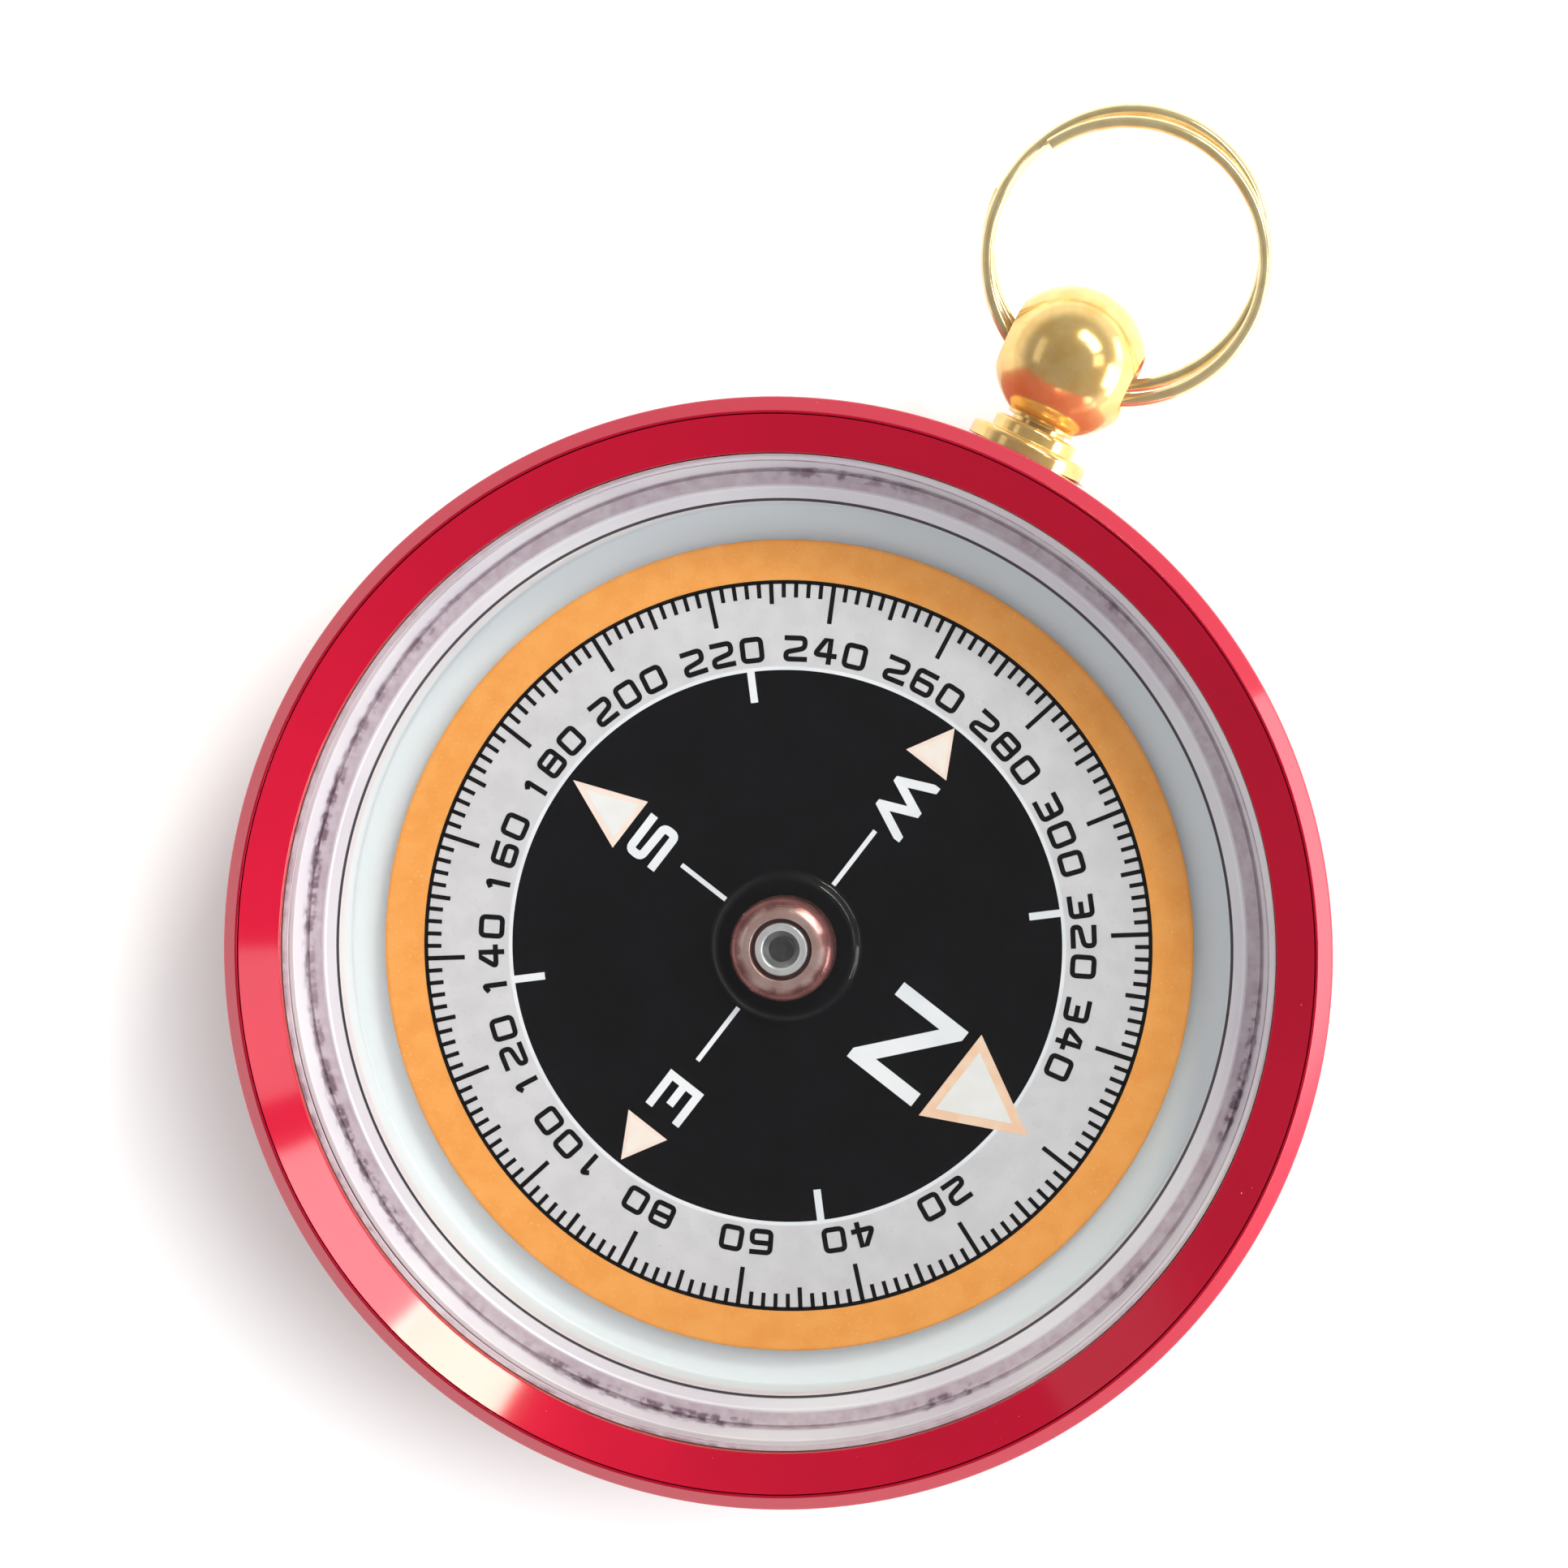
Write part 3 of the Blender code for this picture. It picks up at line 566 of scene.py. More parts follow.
orange_band = turned("orange_band", [
    (scale_edge, card_face, 0.0),
    (scale_edge, card_face + INK, 0.0),
    (dial_radius + INK, card_face + INK, card_round),
    (dial_radius + INK, card_face - card_round, 0.0),
    (dial_radius, card_face - card_round, 0.0),
    (dial_radius, card_face, card_round * 0.999),
])
orange_band.data.materials.append(orange_ink)
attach(orange_band, "dial")


# Degree scale: a tick every two degrees, longer every ten and longest every twenty.
# The ticks are printed in black on the silver ring, from the circle inwards.
HEADING = math.radians(-11.8)


def tick_tree():
    """Geometry nodes that lay out ticks round the dial, all from one outer circle inwards.
    In each group of places in turn, those before the first kept one stay free for a longer tick."""
    tree = bpy.data.node_groups.new("degree_ticks", "GeometryNodeTree")
    face = tree.interface
    face.new_socket("Geometry", in_out="OUTPUT", socket_type="NodeSocketGeometry")
    for label, kind in (("Count", "Int"), ("Group", "Int"), ("First Kept", "Int"),
                        ("Outer Radius", "Float"), ("Length", "Float"), ("Width", "Float"),
                        ("Thickness", "Float"), ("Level", "Float"), ("Heading", "Float"),
                        ("Ink", "Material")):
        face.new_socket(label, in_out="INPUT", socket_type="NodeSocket" + kind)
    plan = Wiring(tree)
    given = {socket.name: Signal(plan, socket) for socket in tree.nodes.new("NodeGroupInput").outputs}
    length, thickness = given["Length"], given["Thickness"]

    size = plan.node("ShaderNodeCombineXYZ", {}, {0: length, 1: given["Width"], 2: thickness})
    bar = plan.node("GeometryNodeMeshCube", {}, {"Size": size}, "Mesh")
    middle = given["Outer Radius"] - length * 0.5
    level = given["Level"] + thickness * 0.5
    shift = plan.node("ShaderNodeCombineXYZ", {}, {0: middle, 2: level})
    bar = plan.node("GeometryNodeTransform", {}, {"Geometry": bar, "Translation": shift})
    index = plan.node("GeometryNodeInputIndex")
    pitch = index.maths("DIVIDE", 2 * math.pi, given["Count"])
    turn = given["Heading"] - index * pitch
    rotation = plan.node("ShaderNodeCombineXYZ", {}, {2: turn})
    place_in_group = index.maths("MODULO", index, given["Group"])
    kept = index.maths("GREATER_THAN", place_in_group, given["First Kept"] - 0.5)
    spots = plan.node("GeometryNodePoints", {}, {"Count": given["Count"]})
    ticks = plan.node("GeometryNodeInstanceOnPoints", {}, {"Points": spots, "Selection": kept,
                                                           "Instance": bar, "Rotation": rotation})
    ticks = plan.node("GeometryNodeRealizeInstances", {}, {"Geometry": ticks})
    ticks = plan.node("GeometryNodeSetMaterial", {}, {"Geometry": ticks, "Material": given["Ink"]})
    plan.feed(tree.nodes.new("NodeGroupOutput").inputs[0], ticks)
    return tree


TICKS = tick_tree()


def tick_ring(name, count, group, first_kept, inner, width):
    """One rank of ticks, made by the tree and kept as a plain mesh."""
    ring = placed(name, bpy.data.meshes.new(name))
    modifier = ring.modifiers.new("Ticks", "NODES")
    modifier.node_group = TICKS
    values = {"Count": count, "Group": group, "First Kept": first_kept, "Outer Radius": scale_edge,
              "Length": scale_edge - inner, "Width": width, "Thickness": INK,
              "Level": card_face + INK, "Heading": HEADING, "Ink": black_ink}
    for socket in TICKS.interface.items_tree:
        if socket.in_out == "INPUT":
            modifier[socket.identifier] = values[socket.name]
    settle(ring)
    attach(ring, "dial")


tick_ring("ticks_each_2", 180, 5, 1, 15.99 * MM, 0.19 * MM)
tick_ring("ticks_each_10", 36, 2, 1, 15.70 * MM, 0.20 * MM)
tick_ring("ticks_each_20", 18, 1, 0, 14.91 * MM, 0.21 * MM)


# Numerals and letters: square, wide strokes, screened in black on silver and in white on black.
# The numerals stand with their tops outwards. The letters all stand upright to north.
# Each glyph is drawn on a field from -1 to 1 both ways, along the middle of its strokes.
def glyphs(abut):
    """Strokes of each sign. abut is where the middle bar of a sign meets the edge of a side stroke."""
    box = [(-1, 1), (1, 1), (1, -1), (-1, -1)]
    stem = 0.45
    overlap = 0.27
    return {
        "0": [(box, True)],
        "1": [([(-0.55, 0.55), (0.1, 1.0), (0.1, -1.3)], False)],
        "2": [([(-1.2, 1), (1, 1), (1, 0.05), (-1, -0.35), (-1, -1), (1.25, -1)], False)],
        "3": [([(-1.2, 1), (1, 1), (1, -1), (-1.2, -1)], False), ([(-0.5, 0), (abut, 0)], False)],
        "4": [([(0.1, 1.3), (-1.1, -0.4), (stem - overlap, -0.4)], False),
              ([(stem, 1.3), (stem, -1.3)], False), ([(stem + overlap, -0.4), (1.25, -0.4)], False)],
        "6": [([(1.2, 1), (-1, 1), (-1, -1), (1, -1), (1, 0.1), (-abut, 0.1)], False)],
        "8": [(box, True), ([(-abut, 0.05), (abut, 0.05)], False)],
        "N": [([(-1, -1.4), (-1, 1), (1, -1), (1, 1.4)], False)],
        "E": [([(1.3, 1), (-1, 1), (-1, -1), (1.3, -1)], False), ([(-abut, 0), (0.5, 0)], False)],
        "S": [([(1.2, 1), (-1, 1), (-1, 0.05), (1, -0.05), (1, -1), (-1.2, -1)], False)],
        "W": [([(-1.1, 1.3), (-0.5, -1), (0, 1), (0.5, -1), (1.1, 1.3)], False)],
    }


def ribbon(shape, line, width, closed):
    """A flat band of this width along a line of points, with mitred corners."""
    last = len(line) - 1
    pairs = []
    for i, here in enumerate(line):
        ways = []
        if closed or i > 0:
            ways.append((here - line[i - 1]).normalized())
        if closed or i < last:
            ways.append((line[(i + 1) % (last + 1)] - here).normalized())
        normals = [Vector((-way.y, way.x)) for way in ways]
        mitre = sum(normals, Vector((0.0, 0.0))).normalized()
        reach = mitre * (width / 2 / mitre.dot(normals[0]))
        pairs.append((shape.verts.new((*(here + reach), 0.0)), shape.verts.new((*(here - reach), 0.0))))
    following = pairs[1:] + (pairs[:1] if closed else [])
    for (left, right), (next_left, next_right) in zip(pairs, following):
        shape.faces.new((left, right, next_right, next_left))


def draw(sheet, sign, size, stroke, ease, place):
    """Adds one sign to a flat sheet, cut square at the edges of its field."""
    width, height = size
    half = Vector(((width - stroke) / 2, (height - stroke) / 2))
    shape = bmesh.new()
    for points, closed in glyphs(1.0 - stroke / (width - stroke))[sign]:
        corners = [(x * half.x, y * half.y, ease) for x, y in points]
        ribbon(shape, rounded(corners, closed, holding=False), stroke, closed)
    for way in (Vector((1, 0, 0)), Vector((-1, 0, 0)), Vector((0, 1, 0)), Vector((0, -1, 0))):
        limit = Vector((way.x * width / 2, way.y * height / 2, 0.0))
        bmesh.ops.bisect_plane(shape, geom=shape.verts[:] + shape.edges[:] + shape.faces[:],
                               plane_co=limit, plane_no=way, clear_outer=True)
    shape.transform(place)
    flat = bpy.data.meshes.new(sign)
    shape.to_mesh(flat)
    shape.free()
    sheet.from_mesh(flat)
    bpy.data.meshes.remove(flat)


def screened(name, sheet, level, material):
    """Gives a flat sheet of signs the thickness of the ink, and puts it on the dial."""
    lifted = bmesh.ops.extrude_face_region(sheet, geom=sheet.faces[:], use_keep_orig=True)
    raised = [item for item in lifted["geom"] if isinstance(item, bmesh.types.BMVert)]
    bmesh.ops.translate(sheet, vec=(0.0, 0.0, INK), verts=raised)
    bmesh.ops.translate(sheet, vec=(0.0, 0.0, level), verts=sheet.verts)
    piece = new_piece(name, sheet)
    piece.data.materials.append(material)
    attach(piece, "dial")


def facing(bearing, radius):
    """Place of a sign at a bearing in degrees from north, with its top outwards."""
    angle = HEADING - math.radians(bearing)
    spot = Matrix.Translation((radius * math.cos(angle), radius * math.sin(angle), 0.0))
    return spot @ Matrix.Rotation(angle - math.pi / 2, 4, "Z")


numeral_size = (1.10 * MM, 1.20 * MM)
numeral_stroke = 0.235 * MM
numeral_ease = 0.20 * MM
numeral_radius = 13.66 * MM
numeral_spacing = 1.38 * MM
numeral_pitch = math.degrees(numeral_spacing / numeral_radius)
numerals = bmesh.new()
for bearing in range(20, 360, 20):
    label = str(bearing)
    for place_in_label, sign in enumerate(label):
        offset = (place_in_label - (len(label) - 1) / 2) * numeral_pitch
        draw(numerals, sign, numeral_size, numeral_stroke, numeral_ease,
             facing(bearing + offset, numeral_radius))
screened("numerals", numerals, card_face + INK, black_ink)

# The letters' boxes run from west to east and from south to north, in mm. Only the S is round.
TO_NORTH = Vector((math.cos(HEADING), math.sin(HEADING), 0.0))
TO_EAST = Vector((math.sin(HEADING), -math.cos(HEADING), 0.0))
letters = bmesh.new()
for sign, west, east, south, north, stroke, ease in (
        ("N", -2.07, 2.25, 5.29, 9.02, 0.72, 0.0),
        ("S", -1.06, 1.07, -8.65, -6.90, 0.39, 0.24),
        ("E", 7.74, 9.69, -0.73, 1.20, 0.38, 0.0),
        ("W", -10.08, -6.98, -0.75, 1.19, 0.41, 0.0)):
    middle = TO_EAST * ((west + east) / 2 * MM) + TO_NORTH * ((south + north) / 2 * MM)
    upright = Matrix.Translation(middle) @ Matrix.Rotation(HEADING - math.pi / 2, 4, "Z")
    draw(letters, sign, ((east - west) * MM, (north - south) * MM), stroke * MM, ease * MM, upright)
screened("letters", letters, card_face, white_ink)


# Pointers and lines: a big luminous arrow with a peach border for north, and small ones with a
# blush border for the other quarters, all filled pale. Thin white lines run to the letters, and
# four short ones mark the half quarters at the edge of the black.
def flat_outline(sheet, points, bearing):
    """A flat face on the sheet. Its points are (across, outwards) in mm, at a bearing."""
    place = facing(bearing, 0.0)
    sheet.faces.new([sheet.verts.new(place @ Vector((x * MM, y * MM, 0.0))) for x, y in points])


def pointer(name, bearing, base, half_width, tip, border, edging, filling):
    """An arrow head, in mm: its border, and a filling set in by the border's width."""
    whole = bmesh.new()
    flat_outline(whole, [(-half_width, base), (half_width, base), (0.0, tip)], bearing)
    screened(name + "_border", whole, card_face + INK, edging)
    side = math.hypot(half_width, tip - base)
    inner_tip = tip - border * side / half_width
    inner_half = half_width * (inner_tip - base - border) / (tip - base)
    inside = bmesh.new()
    flat_outline(inside, [(-inner_half, base + border), (inner_half, base + border), (0.0, inner_tip)],
                 bearing)
    screened(name + "_filling", inside, card_face + 2 * INK, filling)


peach_ink = ink("peach_ink", srgb(253, 222, 196), srgb(250, 208, 176), srgb(255, 234, 214), 0.5,
                0.8 * MM)
blush_ink = ink("blush_ink", srgb(254, 234, 224), srgb(250, 227, 213), srgb(255, 242, 234), 0.5,
                0.6 * MM)
cream_ink = ink("cream_ink", srgb(253, 243, 234), srgb(250, 234, 222), srgb(255, 248, 242), 0.5,
                0.6 * MM)
night_ink = ink("luminous_ink", srgb(244, 243, 243), srgb(240, 238, 234), srgb(250, 252, 255), 0.5,
                0.9 * MM)
pointer("north_pointer", 0.0, 9.55, 2.35, 14.05, 0.42, peach_ink, night_ink)
pointer("east_pointer", 90.0, 10.45, 1.13, 12.50, 0.16, blush_ink, cream_ink)
pointer("south_pointer", 180.0, 9.08, 1.34, 12.43, 0.26, blush_ink, night_ink)
pointer("west_pointer", 270.0, 10.55, 1.16, 12.68, 0.16, blush_ink, cream_ink)

long_lines = [(90.0, 3.58, 6.68, 0.22), (180.0, 3.50, 6.08, 0.22), (270.0, 3.58, 6.73, 0.22)]
short_lines = [(bearing, 11.26, 12.68, 0.34) for bearing in (45.0, 135.0, 225.0, 315.0)]
lines = bmesh.new()
for bearing, start, end, width in long_lines + short_lines:
    half = width / 2
    flat_outline(lines, [(-half, start), (half, start), (half, end), (-half, end)], bearing)
screened("radial_lines", lines, card_face, white_ink)


# Dial cap: a domed copper cap riveted through the card. Its shank clamps the card and the carrier.
# A steel ring in its pocket holds the dark bearing stone that runs on the needle.
hub_low, hub_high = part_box("dial_hub")
hub_radius = hub_high.x
hub_top = hub_high.z
hub_base = boss_top + SEAT_GAP
hub_dome = 0.35 * MM
hub_shank = 1.7 * MM
hub_bore = 0.9 * MM
pocket_radius = 1.42 * MM
pocket_depth = 1.6 * MM
pocket_floor = hub_top - pocket_depth
hub_land = 0.33 * MM
cap = turned("dial_cap", [
    (pocket_radius, hub_top, 0.06 * MM),
    (pocket_radius + hub_land, hub_top, 0.30 * MM),
    (hub_radius, hub_top - hub_dome, hub_dome),
    (hub_radius, hub_base, 0.05 * MM),
    (hub_shank, hub_base, 0.0),
    (hub_shank, hub_low.z, 0.05 * MM),
    (hub_bore, hub_low.z, 0.05 * MM),
    (hub_bore, pocket_floor, 0.0),
    (pocket_radius, pocket_floor, 0.0),
], steps=128)
copper = Finish("brown_copper", metallic=0.6)
copper_radius = copper.across()
copper_lines = copper.lathe_lines(copper_radius, copper.part("Z"), TOOL_PITCH)
copper_cloud = copper.rise(copper.grain(DULL_PATCH, 4.0), 0.35, 0.7)
# Painted light: the cap's top land round the pocket takes a paler, lit copy of the copper, and the dome
# below keeps the darker brown.
lit_land_from = pocket_radius + 0.4 * MM
lit_land_to = pocket_radius + 0.75 * MM
painted_lit_land = copper.rise(copper_radius + copper_cloud * 0.15 * MM, lit_land_from, lit_land_to, 1.0, 0.0)
tarnish = copper.mix(copper_cloud, srgb(150, 100, 96), srgb(118, 72, 70))
lit_land_copper = copper.mix(copper_cloud, srgb(216, 184, 178), srgb(196, 158, 150))
copper.set("Base Color", copper.mix(painted_lit_land, tarnish, lit_land_copper))
copper.set("Roughness", copper_lines * 0.12 + copper_cloud * 0.08 + 0.16)
copper.bump(copper_lines, 0.002 * MM)
cap.data.materials.append(copper.material)
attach(cap, "dial")
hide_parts("dial_hub")

setting_low, setting_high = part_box("jewel_setting")
setting_inner = 0.84 * MM
setting_bore = 0.5 * MM
setting_shelf = setting_low.z + 0.4 * MM
setting_taper = 0.04 * MM
setting_shoulder = setting_high.z - 0.14 * MM
setting = turned("stone_setting", [
    (setting_high.x - setting_taper, setting_high.z, 0.18 * MM),
    (setting_high.x, setting_shoulder, 0.08 * MM),
    (setting_high.x, setting_low.z, 0.03 * MM),
    (setting_bore, setting_low.z, 0.0),
    (setting_bore, setting_shelf, 0.0),
    (setting_inner, setting_shelf, 0.0),
    (setting_inner, setting_high.z, 0.14 * MM),
], steps=96)
setting_steel = machined("setting_steel", srgb(250, 250, 252), srgb(226, 228, 230), 0.16, 0.6)
setting.data.materials.append(setting_steel)
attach(setting, "dial")
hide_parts("jewel_setting")


def mottled(name, size, tint, dull, spread, smoothest, **constants):
    """A finish whose tint and roughness drift together, in patches of this size."""
    finish = Finish(name, **constants)
    patches = finish.grain(size, 4.0)
    finish.set("Base Color", finish.mix(patches, tint, dull))
    finish.set("Roughness", patches * spread + smoothest)
    return finish.material


stone_low, stone_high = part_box("pivot_jewel")
dish_depth = 0.06 * MM
dish_floor = 0.22 * MM
cup_radius = 0.35 * MM
cup_depth = 0.2 * MM
stone = turned("bearing_stone", [
    (0.0, stone_high.z - dish_depth, 0.0),
    (dish_floor, stone_high.z - 0.05 * MM, 0.05 * MM),
    (stone_high.x, stone_high.z, 0.05 * MM),
    (stone_high.x, stone_low.z, 0.03 * MM),
    (cup_radius, stone_low.z, 0.0),
    (0.0, stone_low.z + cup_depth, 0.0),
], closed=False, steps=64)
stone.data.materials.append(mottled("dark_stone", 0.35 * MM, srgb(44, 44, 46), srgb(72, 68, 70),
                                    0.15, 0.1, coat_weight=0.5, coat_roughness=0.03))
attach(stone, "dial")
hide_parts("pivot_jewel")


# Magnets and their carrier: two plated bars in the troughs of a moulded black frame, under the card.
# Nothing shows them from outside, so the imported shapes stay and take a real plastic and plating.
plastic = Finish("moulded_black")
plastic_grain = plastic.grain(0.08 * MM, 3.0)
plastic.set("Base Color", plastic.mix(plastic_grain, srgb(24, 24, 25), srgb(36, 36, 38)))
plastic.set("Roughness", plastic_grain * 0.2 + 0.4)
plastic.bump(plastic_grain, 0.01 * MM)
keep("magnet_carrier", plastic.material)

plating = mottled("nickel_plating", 0.7 * MM, srgb(168, 168, 172), srgb(128, 128, 134), 0.25, 0.22,
                  metallic=1.0)
keep("magnet_east", plating)
keep("magnet_west", plating)


# Gasket: a flat ring cut from black rubber sheet, pressed between the crystal and the case's ledge.
rubber = mottled("gasket_rubber", 0.3 * MM, srgb(30, 30, 31), srgb(48, 47, 47), 0.2, 0.6)
keep("crystal_gasket", rubber)


# Crystal: a flat lens turned from clear acrylic, polished, with a bevelled edge.
# Its flange is held under the bezel's lip. The bevel and the flange keep faint tool marks.
glass_low, glass_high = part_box("crystal")
bezel_opening = 22.5 * MM
glass_seam = 0.04 * MM
face_radius = bezel_opening - glass_seam
bezel_skirt = 0.9 * MM
lip_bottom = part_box("bezel_ring")[0].z + bezel_skirt
flange_top = lip_bottom - SEAT_GAP
glass_bevel = 0.3 * MM
crystal = turned("clear_crystal", [
    (0.0, glass_high.z, 0.0),
    (face_radius - glass_bevel, glass_high.z, 0.05 * MM),
    (face_radius, glass_high.z - glass_bevel, 0.03 * MM),
    (face_radius, flange_top, 0.0),
    (glass_high.x, flange_top, edge_ease),
    (glass_high.x, glass_low.z, edge_ease),
    (0.0, glass_low.z, 0.0),
], closed=False)
acrylic = Finish("clear_acrylic", transmission_weight=1.0)
acrylic.set("IOR", 1.49)
acrylic.set("Specular IOR Level", 0.35)
acrylic.set("Base Color", (0.985, 0.99, 0.995, 1.0))
bevel_from = face_radius - 1.4 * glass_bevel
bevel_to = face_radius - 0.8 * glass_bevel
at_bevel = acrylic.rise(acrylic.across(), bevel_from, bevel_to)
rim_marks = acrylic.grain(0.35 * MM, 3.0)
acrylic.set("Roughness", at_bevel * rim_marks * 0.28)
clear = acrylic.node("ShaderNodeBsdfTransparent", {}, {"Color": (0.97, 0.98, 0.98, 1.0)})
body = Signal(acrylic, acrylic.shader.outputs[0])
diffuse_rays = acrylic.seen_by("Is Diffuse Ray")
shadow_rays = acrylic.seen_by("Is Shadow Ray")
soft = acrylic.node("ShaderNodeMixShader", {}, {0: diffuse_rays, 1: body, 2: clear})
lit = acrylic.node("ShaderNodeMixShader", {}, {0: shadow_rays, 1: soft, 2: clear})
acrylic.feed(acrylic.output.inputs["Surface"], lit)
crystal.data.materials.append(acrylic.material)
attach(crystal, "case")
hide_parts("crystal")


# Bezel: a turned and red anodised ring whose skirt is pressed into the case's mouth.
# Its wide cone falls to the crystal, and its lip holds the crystal's flange down.
bezel_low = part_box("bezel_ring")[0]
bezel_stand = 0.15 * MM
bezel_edge = glass_high.z + bezel_stand
bezel_seam = 0.05 * MM
bezel_outer = ridge_radius - bezel_seam
bezel_slope = 1.0 / 1.75
bezel_top = bezel_edge + (bezel_outer - bezel_opening) * bezel_slope
bezel = turned("bezel_cone", [
    (bezel_outer, bezel_top, crisp_ease),
    (bezel_outer, bezel_low.z, edge_ease),
    (mouth_radius, bezel_low.z, edge_ease),
    (mouth_radius, lip_bottom, 0.0),
    (bezel_opening, lip_bottom, 0.03 * MM),
    (bezel_opening, bezel_edge, 0.05 * MM),
])
unworn = 2 * case_radius
bezel_red = anodised("red_anodised_bezel", srgb(206, 2, 50), unworn, 1.05 * unworn)
bezel.data.materials.append(bezel_red)
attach(bezel, "case")
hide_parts("bezel_ring")


# Crown: a gold plated ball turned in one with its neck and threaded shank, and a loose stepped collar.
# The ball is drilled across for the split ring, and the drilled edges are rounded over.
stem_low, stem_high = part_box("crown_stem")
ball_radius = (stem_high.z - stem_low.z) / 2
ball_centre = stem_high.y - ball_radius
neck_radius = 1.6 * MM
neck_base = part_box("crown_collar")[1].y + SEAT_GAP
hole_radius = 1.6 * MM
mouth_depth = 0.25 * MM
mouth_round = 0.2 * MM
BALL_STEPS = 40
neck_angle = math.asin(neck_radius / ball_radius) - math.pi / 2


def gold(name, tint, dull, centre, pitch):
    """Gold plating on turned brass: tool lines round the crown's axis under a bright, clouded plate."""
    pit_size = 0.1 * MM
    pit_brown = srgb(160, 112, 58)
    finish = Finish(name, metallic=0.68)
    lines = finish.lathe_lines(finish.across(centre, (1.0, 0.0, 1.0)), finish.part("Y"), pitch)
    cloud = finish.rise(finish.grain(1.1 * MM, 4.0), 0.35, 0.7)
    pits = finish.rise(finish.grain(pit_size, 1.0), 0.72, 0.8)
    finish.set("Base Color", finish.mix(pits * 0.5, finish.mix(cloud, tint, dull), pit_brown))
    finish.set("Roughness", lines * 0.08 + cloud * 0.06 + 0.08)
    finish.bump(lines, 0.002 * MM)
    return finish.material


ball_arc = []
for i in range(BALL_STEPS + 1):
    angle = math.pi / 2 + (neck_angle - math.pi / 2) * i / BALL_STEPS
    ball_arc.append((ball_radius * math.cos(angle), ball_centre + ball_radius * math.sin(angle), 0.0))
ball_arc[0] = (0.0, stem_high.y, 0.0)
on_crown_axis = Matrix.Translation((0.0, 0.0, crown_height)) @ ALONG_CROWN
stem = turned("crown_ball", ball_arc + [
    (neck_radius, neck_base, 0.04 * MM),
    (shank_radius, neck_base, 0.0),
    (shank_radius, stem_low.y, 0.1 * MM),
    (0.0, stem_low.y, 0.0),
], closed=False, steps=128, place=on_crown_axis)
drill = Matrix.Translation((0.0, ball_centre, crown_height)) @ Matrix.Rotation(math.pi / 2, 4, "Y")
flare_start = math.sqrt(ball_radius ** 2 - hole_radius ** 2) - mouth_depth
flare_end = 1.2 * ball_radius
flare_radius = 1.5 * hole_radius
cross_cut = turned("cross_cut", [
    (0.0, -flare_end, 0.0),
    (flare_radius, -flare_end, 0.0),
    (hole_radius, -flare_start, mouth_round),
    (hole_radius, flare_start, mouth_round),
    (flare_radius, flare_end, 0.0),
    (0.0, flare_end, 0.0),
], closed=False, steps=64, place=drill)
carve(stem, cross_cut)
crown_gold = gold("gold_plate", srgb(250, 216, 144), srgb(240, 198, 120), (0.0, 0.0, crown_height),
                  0.05 * MM)
stem.data.materials.clear()
stem.data.materials.append(crown_gold)
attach(stem, "case")
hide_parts("crown_stem")

collar_low, collar_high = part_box("crown_collar")
flange_thickness = 0.75 * MM
flange_top_y = collar_low.y + flange_thickness
bead_radius = 2.0 * MM
collar_hole = shank_radius + SEAT_GAP
collar = turned("crown_flange", [
    (collar_hole, collar_high.y, 0.04 * MM),
    (bead_radius, collar_high.y, 0.28 * MM),
    (bead_radius, flange_top_y, 0.06 * MM),
    (flange_radius, flange_top_y, 0.3 * MM),
    (flange_radius, collar_low.y, 0.05 * MM),
    (collar_hole, collar_low.y, 0.04 * MM),
], steps=128, place=on_crown_axis)
collar.data.materials.append(crown_gold)
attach(collar, "case")
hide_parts("crown_collar")


# Split ring: gold plated spring wire wound twice round, which steps from one turn to the other.
# It runs through the ball's cross hole, and its two ends are cut and rounded.
wire_radius = 0.3 * MM
ring_middle = 6.3 * MM
ring_hang = 0.85 * MM
turn_pitch = 0.7 * MM
splay = Vector((0.3 * MM, -0.6 * MM))
step_at = math.radians(165.0)
step_half = math.radians(16.0)
RING_STEPS = 120


def smooth_step(value):
    """0 to 1, slow at both ends, as the value goes from 0 to 1."""
    value = min(max(value, 0.0), 1.0)
    return value * value * (3.0 - 2.0 * value)


def ring_line():
    """The middle of the wire, from its lower end to its upper one. It climbs fast at the step,
    and the second turn drifts off the first by the splay."""
    first = step_at + step_half
    last = step_at + 4 * math.pi - step_half
    points = []
    for i in range(2 * RING_STEPS + 1):
        angle = first + (last - first) * i / (2 * RING_STEPS)
        past_step = angle - (step_at + 2 * math.pi)
        climb = smooth_step(past_step / (2 * step_half) + 0.5)
        drift = smooth_step(past_step / math.pi + 0.5)
        points.append(Vector((splay.x * drift + ring_middle * math.cos(angle),
                              ball_centre + ring_middle - ring_hang + splay.y * (drift - 0.5)
                              + ring_middle * math.sin(angle),
                              crown_height + turn_pitch * (climb - 0.5))))
    return points


wire = bpy.data.curves.new("gold_ring", "CURVE")
wire.dimensions = "3D"
wire.bevel_depth = wire_radius
wire.bevel_resolution = 5
wire.use_fill_caps = True
wire_line = wire.splines.new("POLY")
wire_points = ring_line()
wire_line.points.add(len(wire_points) - 1)
for point, spot in zip(wire_line.points, wire_points):
    point.co = (*spot, 1.0)
    point.radius = 1.0
wire_line.use_smooth = True
wire_shape = placed("wire_shape", wire)
split_ring = placed("gold_ring", settled_mesh(wire_shape))
bpy.data.objects.remove(wire_shape)
wire_gold = gold("gold_wire", srgb(250, 230, 178), srgb(236, 212, 156),
                 (0.0, ball_centre, crown_height), 0.2 * MM)
split_ring.data.materials.append(wire_gold)
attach(split_ring, "ring")
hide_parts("split_ring")
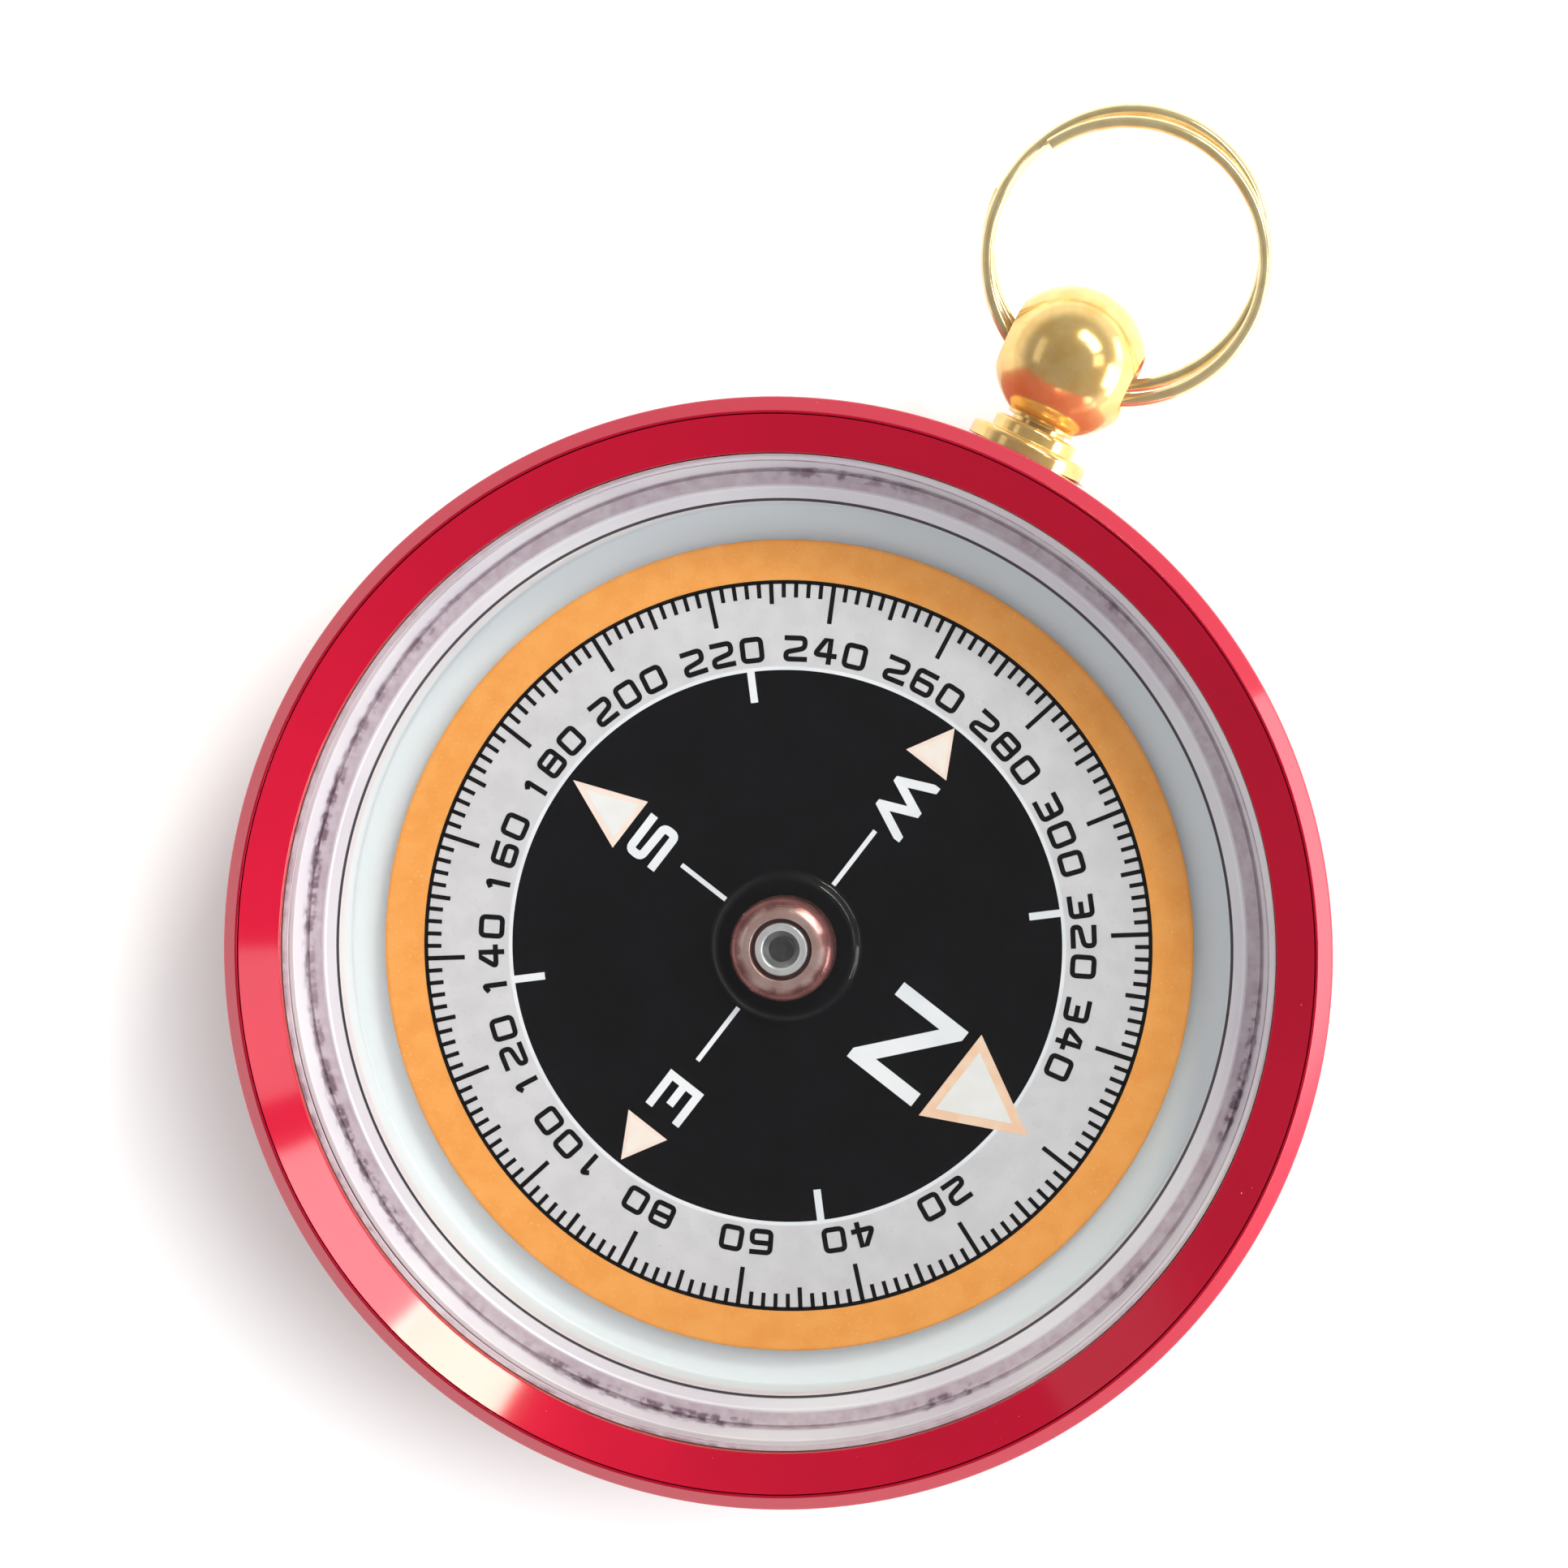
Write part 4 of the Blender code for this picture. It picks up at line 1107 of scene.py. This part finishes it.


# Floor: a white table. Round the compass a painted glow whitens it and its shade, except on one side,
# where the compass's soft shadow stays; past the compass it turns into an even white, as the backdrop
# does.
table_radius = 3.0
table_drop = 0.02 * MM
table_shape = bmesh.new()
bmesh.ops.create_circle(table_shape, cap_ends=True, segments=96, radius=table_radius)
table_shape.transform(Matrix.Translation((0.0, 0.0, -table_drop)))
table = new_piece("white_table", table_shape)
if table.data.polygons[0].normal.z < 0:
    table.data.flip_normals()

table_white = (0.88, 0.88, 0.88, 1.0)
shade_middle = (-6.5 * MM, -7.6 * MM, 0.0)
shade_inner = 17.8 * MM
shade_outer = 27.0 * MM
even_from = 90.0 * MM
even_to = 220.0 * MM
table_paint = Finish("white_table", roughness=0.9)
table_paint.set("Base Color", table_white)
seen = table_paint.seen_by("Is Camera Ray", "Is Glossy Ray", "Is Transmission Ray")
far = table_paint.rise(table_paint.across(), even_from, even_to)
# Painted light: an emission seen by camera and reflected rays, rising away from a point set off towards
# the shadow side, whitens the floor round the compass everywhere but there.
glow = table_paint.rise(table_paint.across(shade_middle), shade_inner, shade_outer, 0.0, 0.45)
lift = table_paint.node("ShaderNodeEmission", {}, {"Strength": seen * glow})
even = table_paint.node("ShaderNodeEmission", {}, {"Strength": seen * 0.4 + 0.6})
matt = Signal(table_paint, table_paint.shader.outputs[0])
near_table = table_paint.node("ShaderNodeAddShader", {}, {0: matt, 1: lift})
whole_table = table_paint.node("ShaderNodeMixShader", {}, {0: far, 1: near_table, 2: even})
table_paint.feed(table_paint.output.inputs["Surface"], whole_table)
table.data.materials.append(table_paint.material)


# Studio: a white surround that is dark overhead in reflections, and softboxes round the compass.
# Three panes in a row stand for a window whose last pane is the brightest, and a faint one hangs
# on the left. Two low ones on the right light the rim, the ball and the dial's well.
world = bpy.data.worlds.new("studio")
bpy.context.scene.world = world
world.use_nodes = True
surround = world.node_tree.nodes["Background"]
surround.inputs["Color"].default_value = (1.0, 1.0, 1.0, 1.0)
sky = Wiring(world.node_tree)
sky_place = sky.node("ShaderNodeTexCoord", output="Generated")
upwards = sky.node("ShaderNodeSeparateXYZ", {}, {0: sky_place}, "Z")
overhead = sky.rise(upwards, 0.08, 0.45, 1.0, 0.17) - sky.rise(upwards, 0.75, 0.92, 0.0, 0.09)
sky_camera = sky.seen_by("Is Camera Ray")
sky_gloss = sky.seen_by("Is Glossy Ray", "Is Transmission Ray")
sky_light = 0.75
plain = 1.0 - sky_camera.maths("MAXIMUM", sky_camera, sky_gloss)
sky.feed(surround.inputs["Strength"], sky_camera + sky_gloss * overhead + plain * sky_light)
LAMP_DISTANCE = 0.45


def softbox(name, azimuth, elevation, width, height, radiance, colour=(1.0, 1.0, 1.0)):
    """An area lamp that faces the compass. Its angles are in degrees and its size in metres."""
    lamp = bpy.data.lights.new(name, "AREA")
    lamp.shape = "RECTANGLE"
    lamp.size = width
    lamp.size_y = height
    lamp.energy = radiance * width * height * math.pi
    lamp.color = colour
    holder = placed(name, lamp)
    flat = math.radians(azimuth)
    up = math.radians(elevation)
    way = Vector((math.cos(up) * math.cos(flat), math.cos(up) * math.sin(flat), math.sin(up)))
    holder.location = way * LAMP_DISTANCE
    holder.rotation_euler = way.to_track_quat("Z", "Y").to_euler()


softbox("left_pane", 29.3, 43.0, 0.108, 0.11, 2.4)
softbox("middle_pane", 60.0, 43.0, 0.152, 0.11, 6.4)
softbox("bright_pane", 81.3, 43.0, 0.095, 0.07, 26.0, (1.0, 0.97, 0.78))
softbox("side_pane", 181.0, 43.0, 0.28, 0.10, 0.5)
softbox("low_pane", 20.0, 7.0, 0.60, 0.09, 4.2)
softbox("key_pane", 8.0, 20.0, 0.22, 0.09, 11.0)


# Camera: from above, as the photograph is taken, with its top turned towards the crown.
camera_place = Vector((16.453, 27.191, 253.469)) * MM
camera_aim = Vector((-3.377, 6.618, 7.0)) * MM
camera_up = Vector((-0.4398, 0.8972, -0.0395))
view = (camera_aim - camera_place).normalized()
right = view.cross(camera_up).normalized()
top = right.cross(view)
camera_data = bpy.data.cameras.new("camera")
camera_data.sensor_width = 36.0
camera_data.lens = 124.09
camera_data.clip_start = 0.01
camera_data.clip_end = 20.0
camera = placed("camera", camera_data)
turn = Matrix((right, top, -view)).transposed()
camera.matrix_world = Matrix.Translation(camera_place) @ turn.to_4x4()
bpy.context.scene.camera = camera
bpy.context.scene.view_settings.view_transform = "Standard"
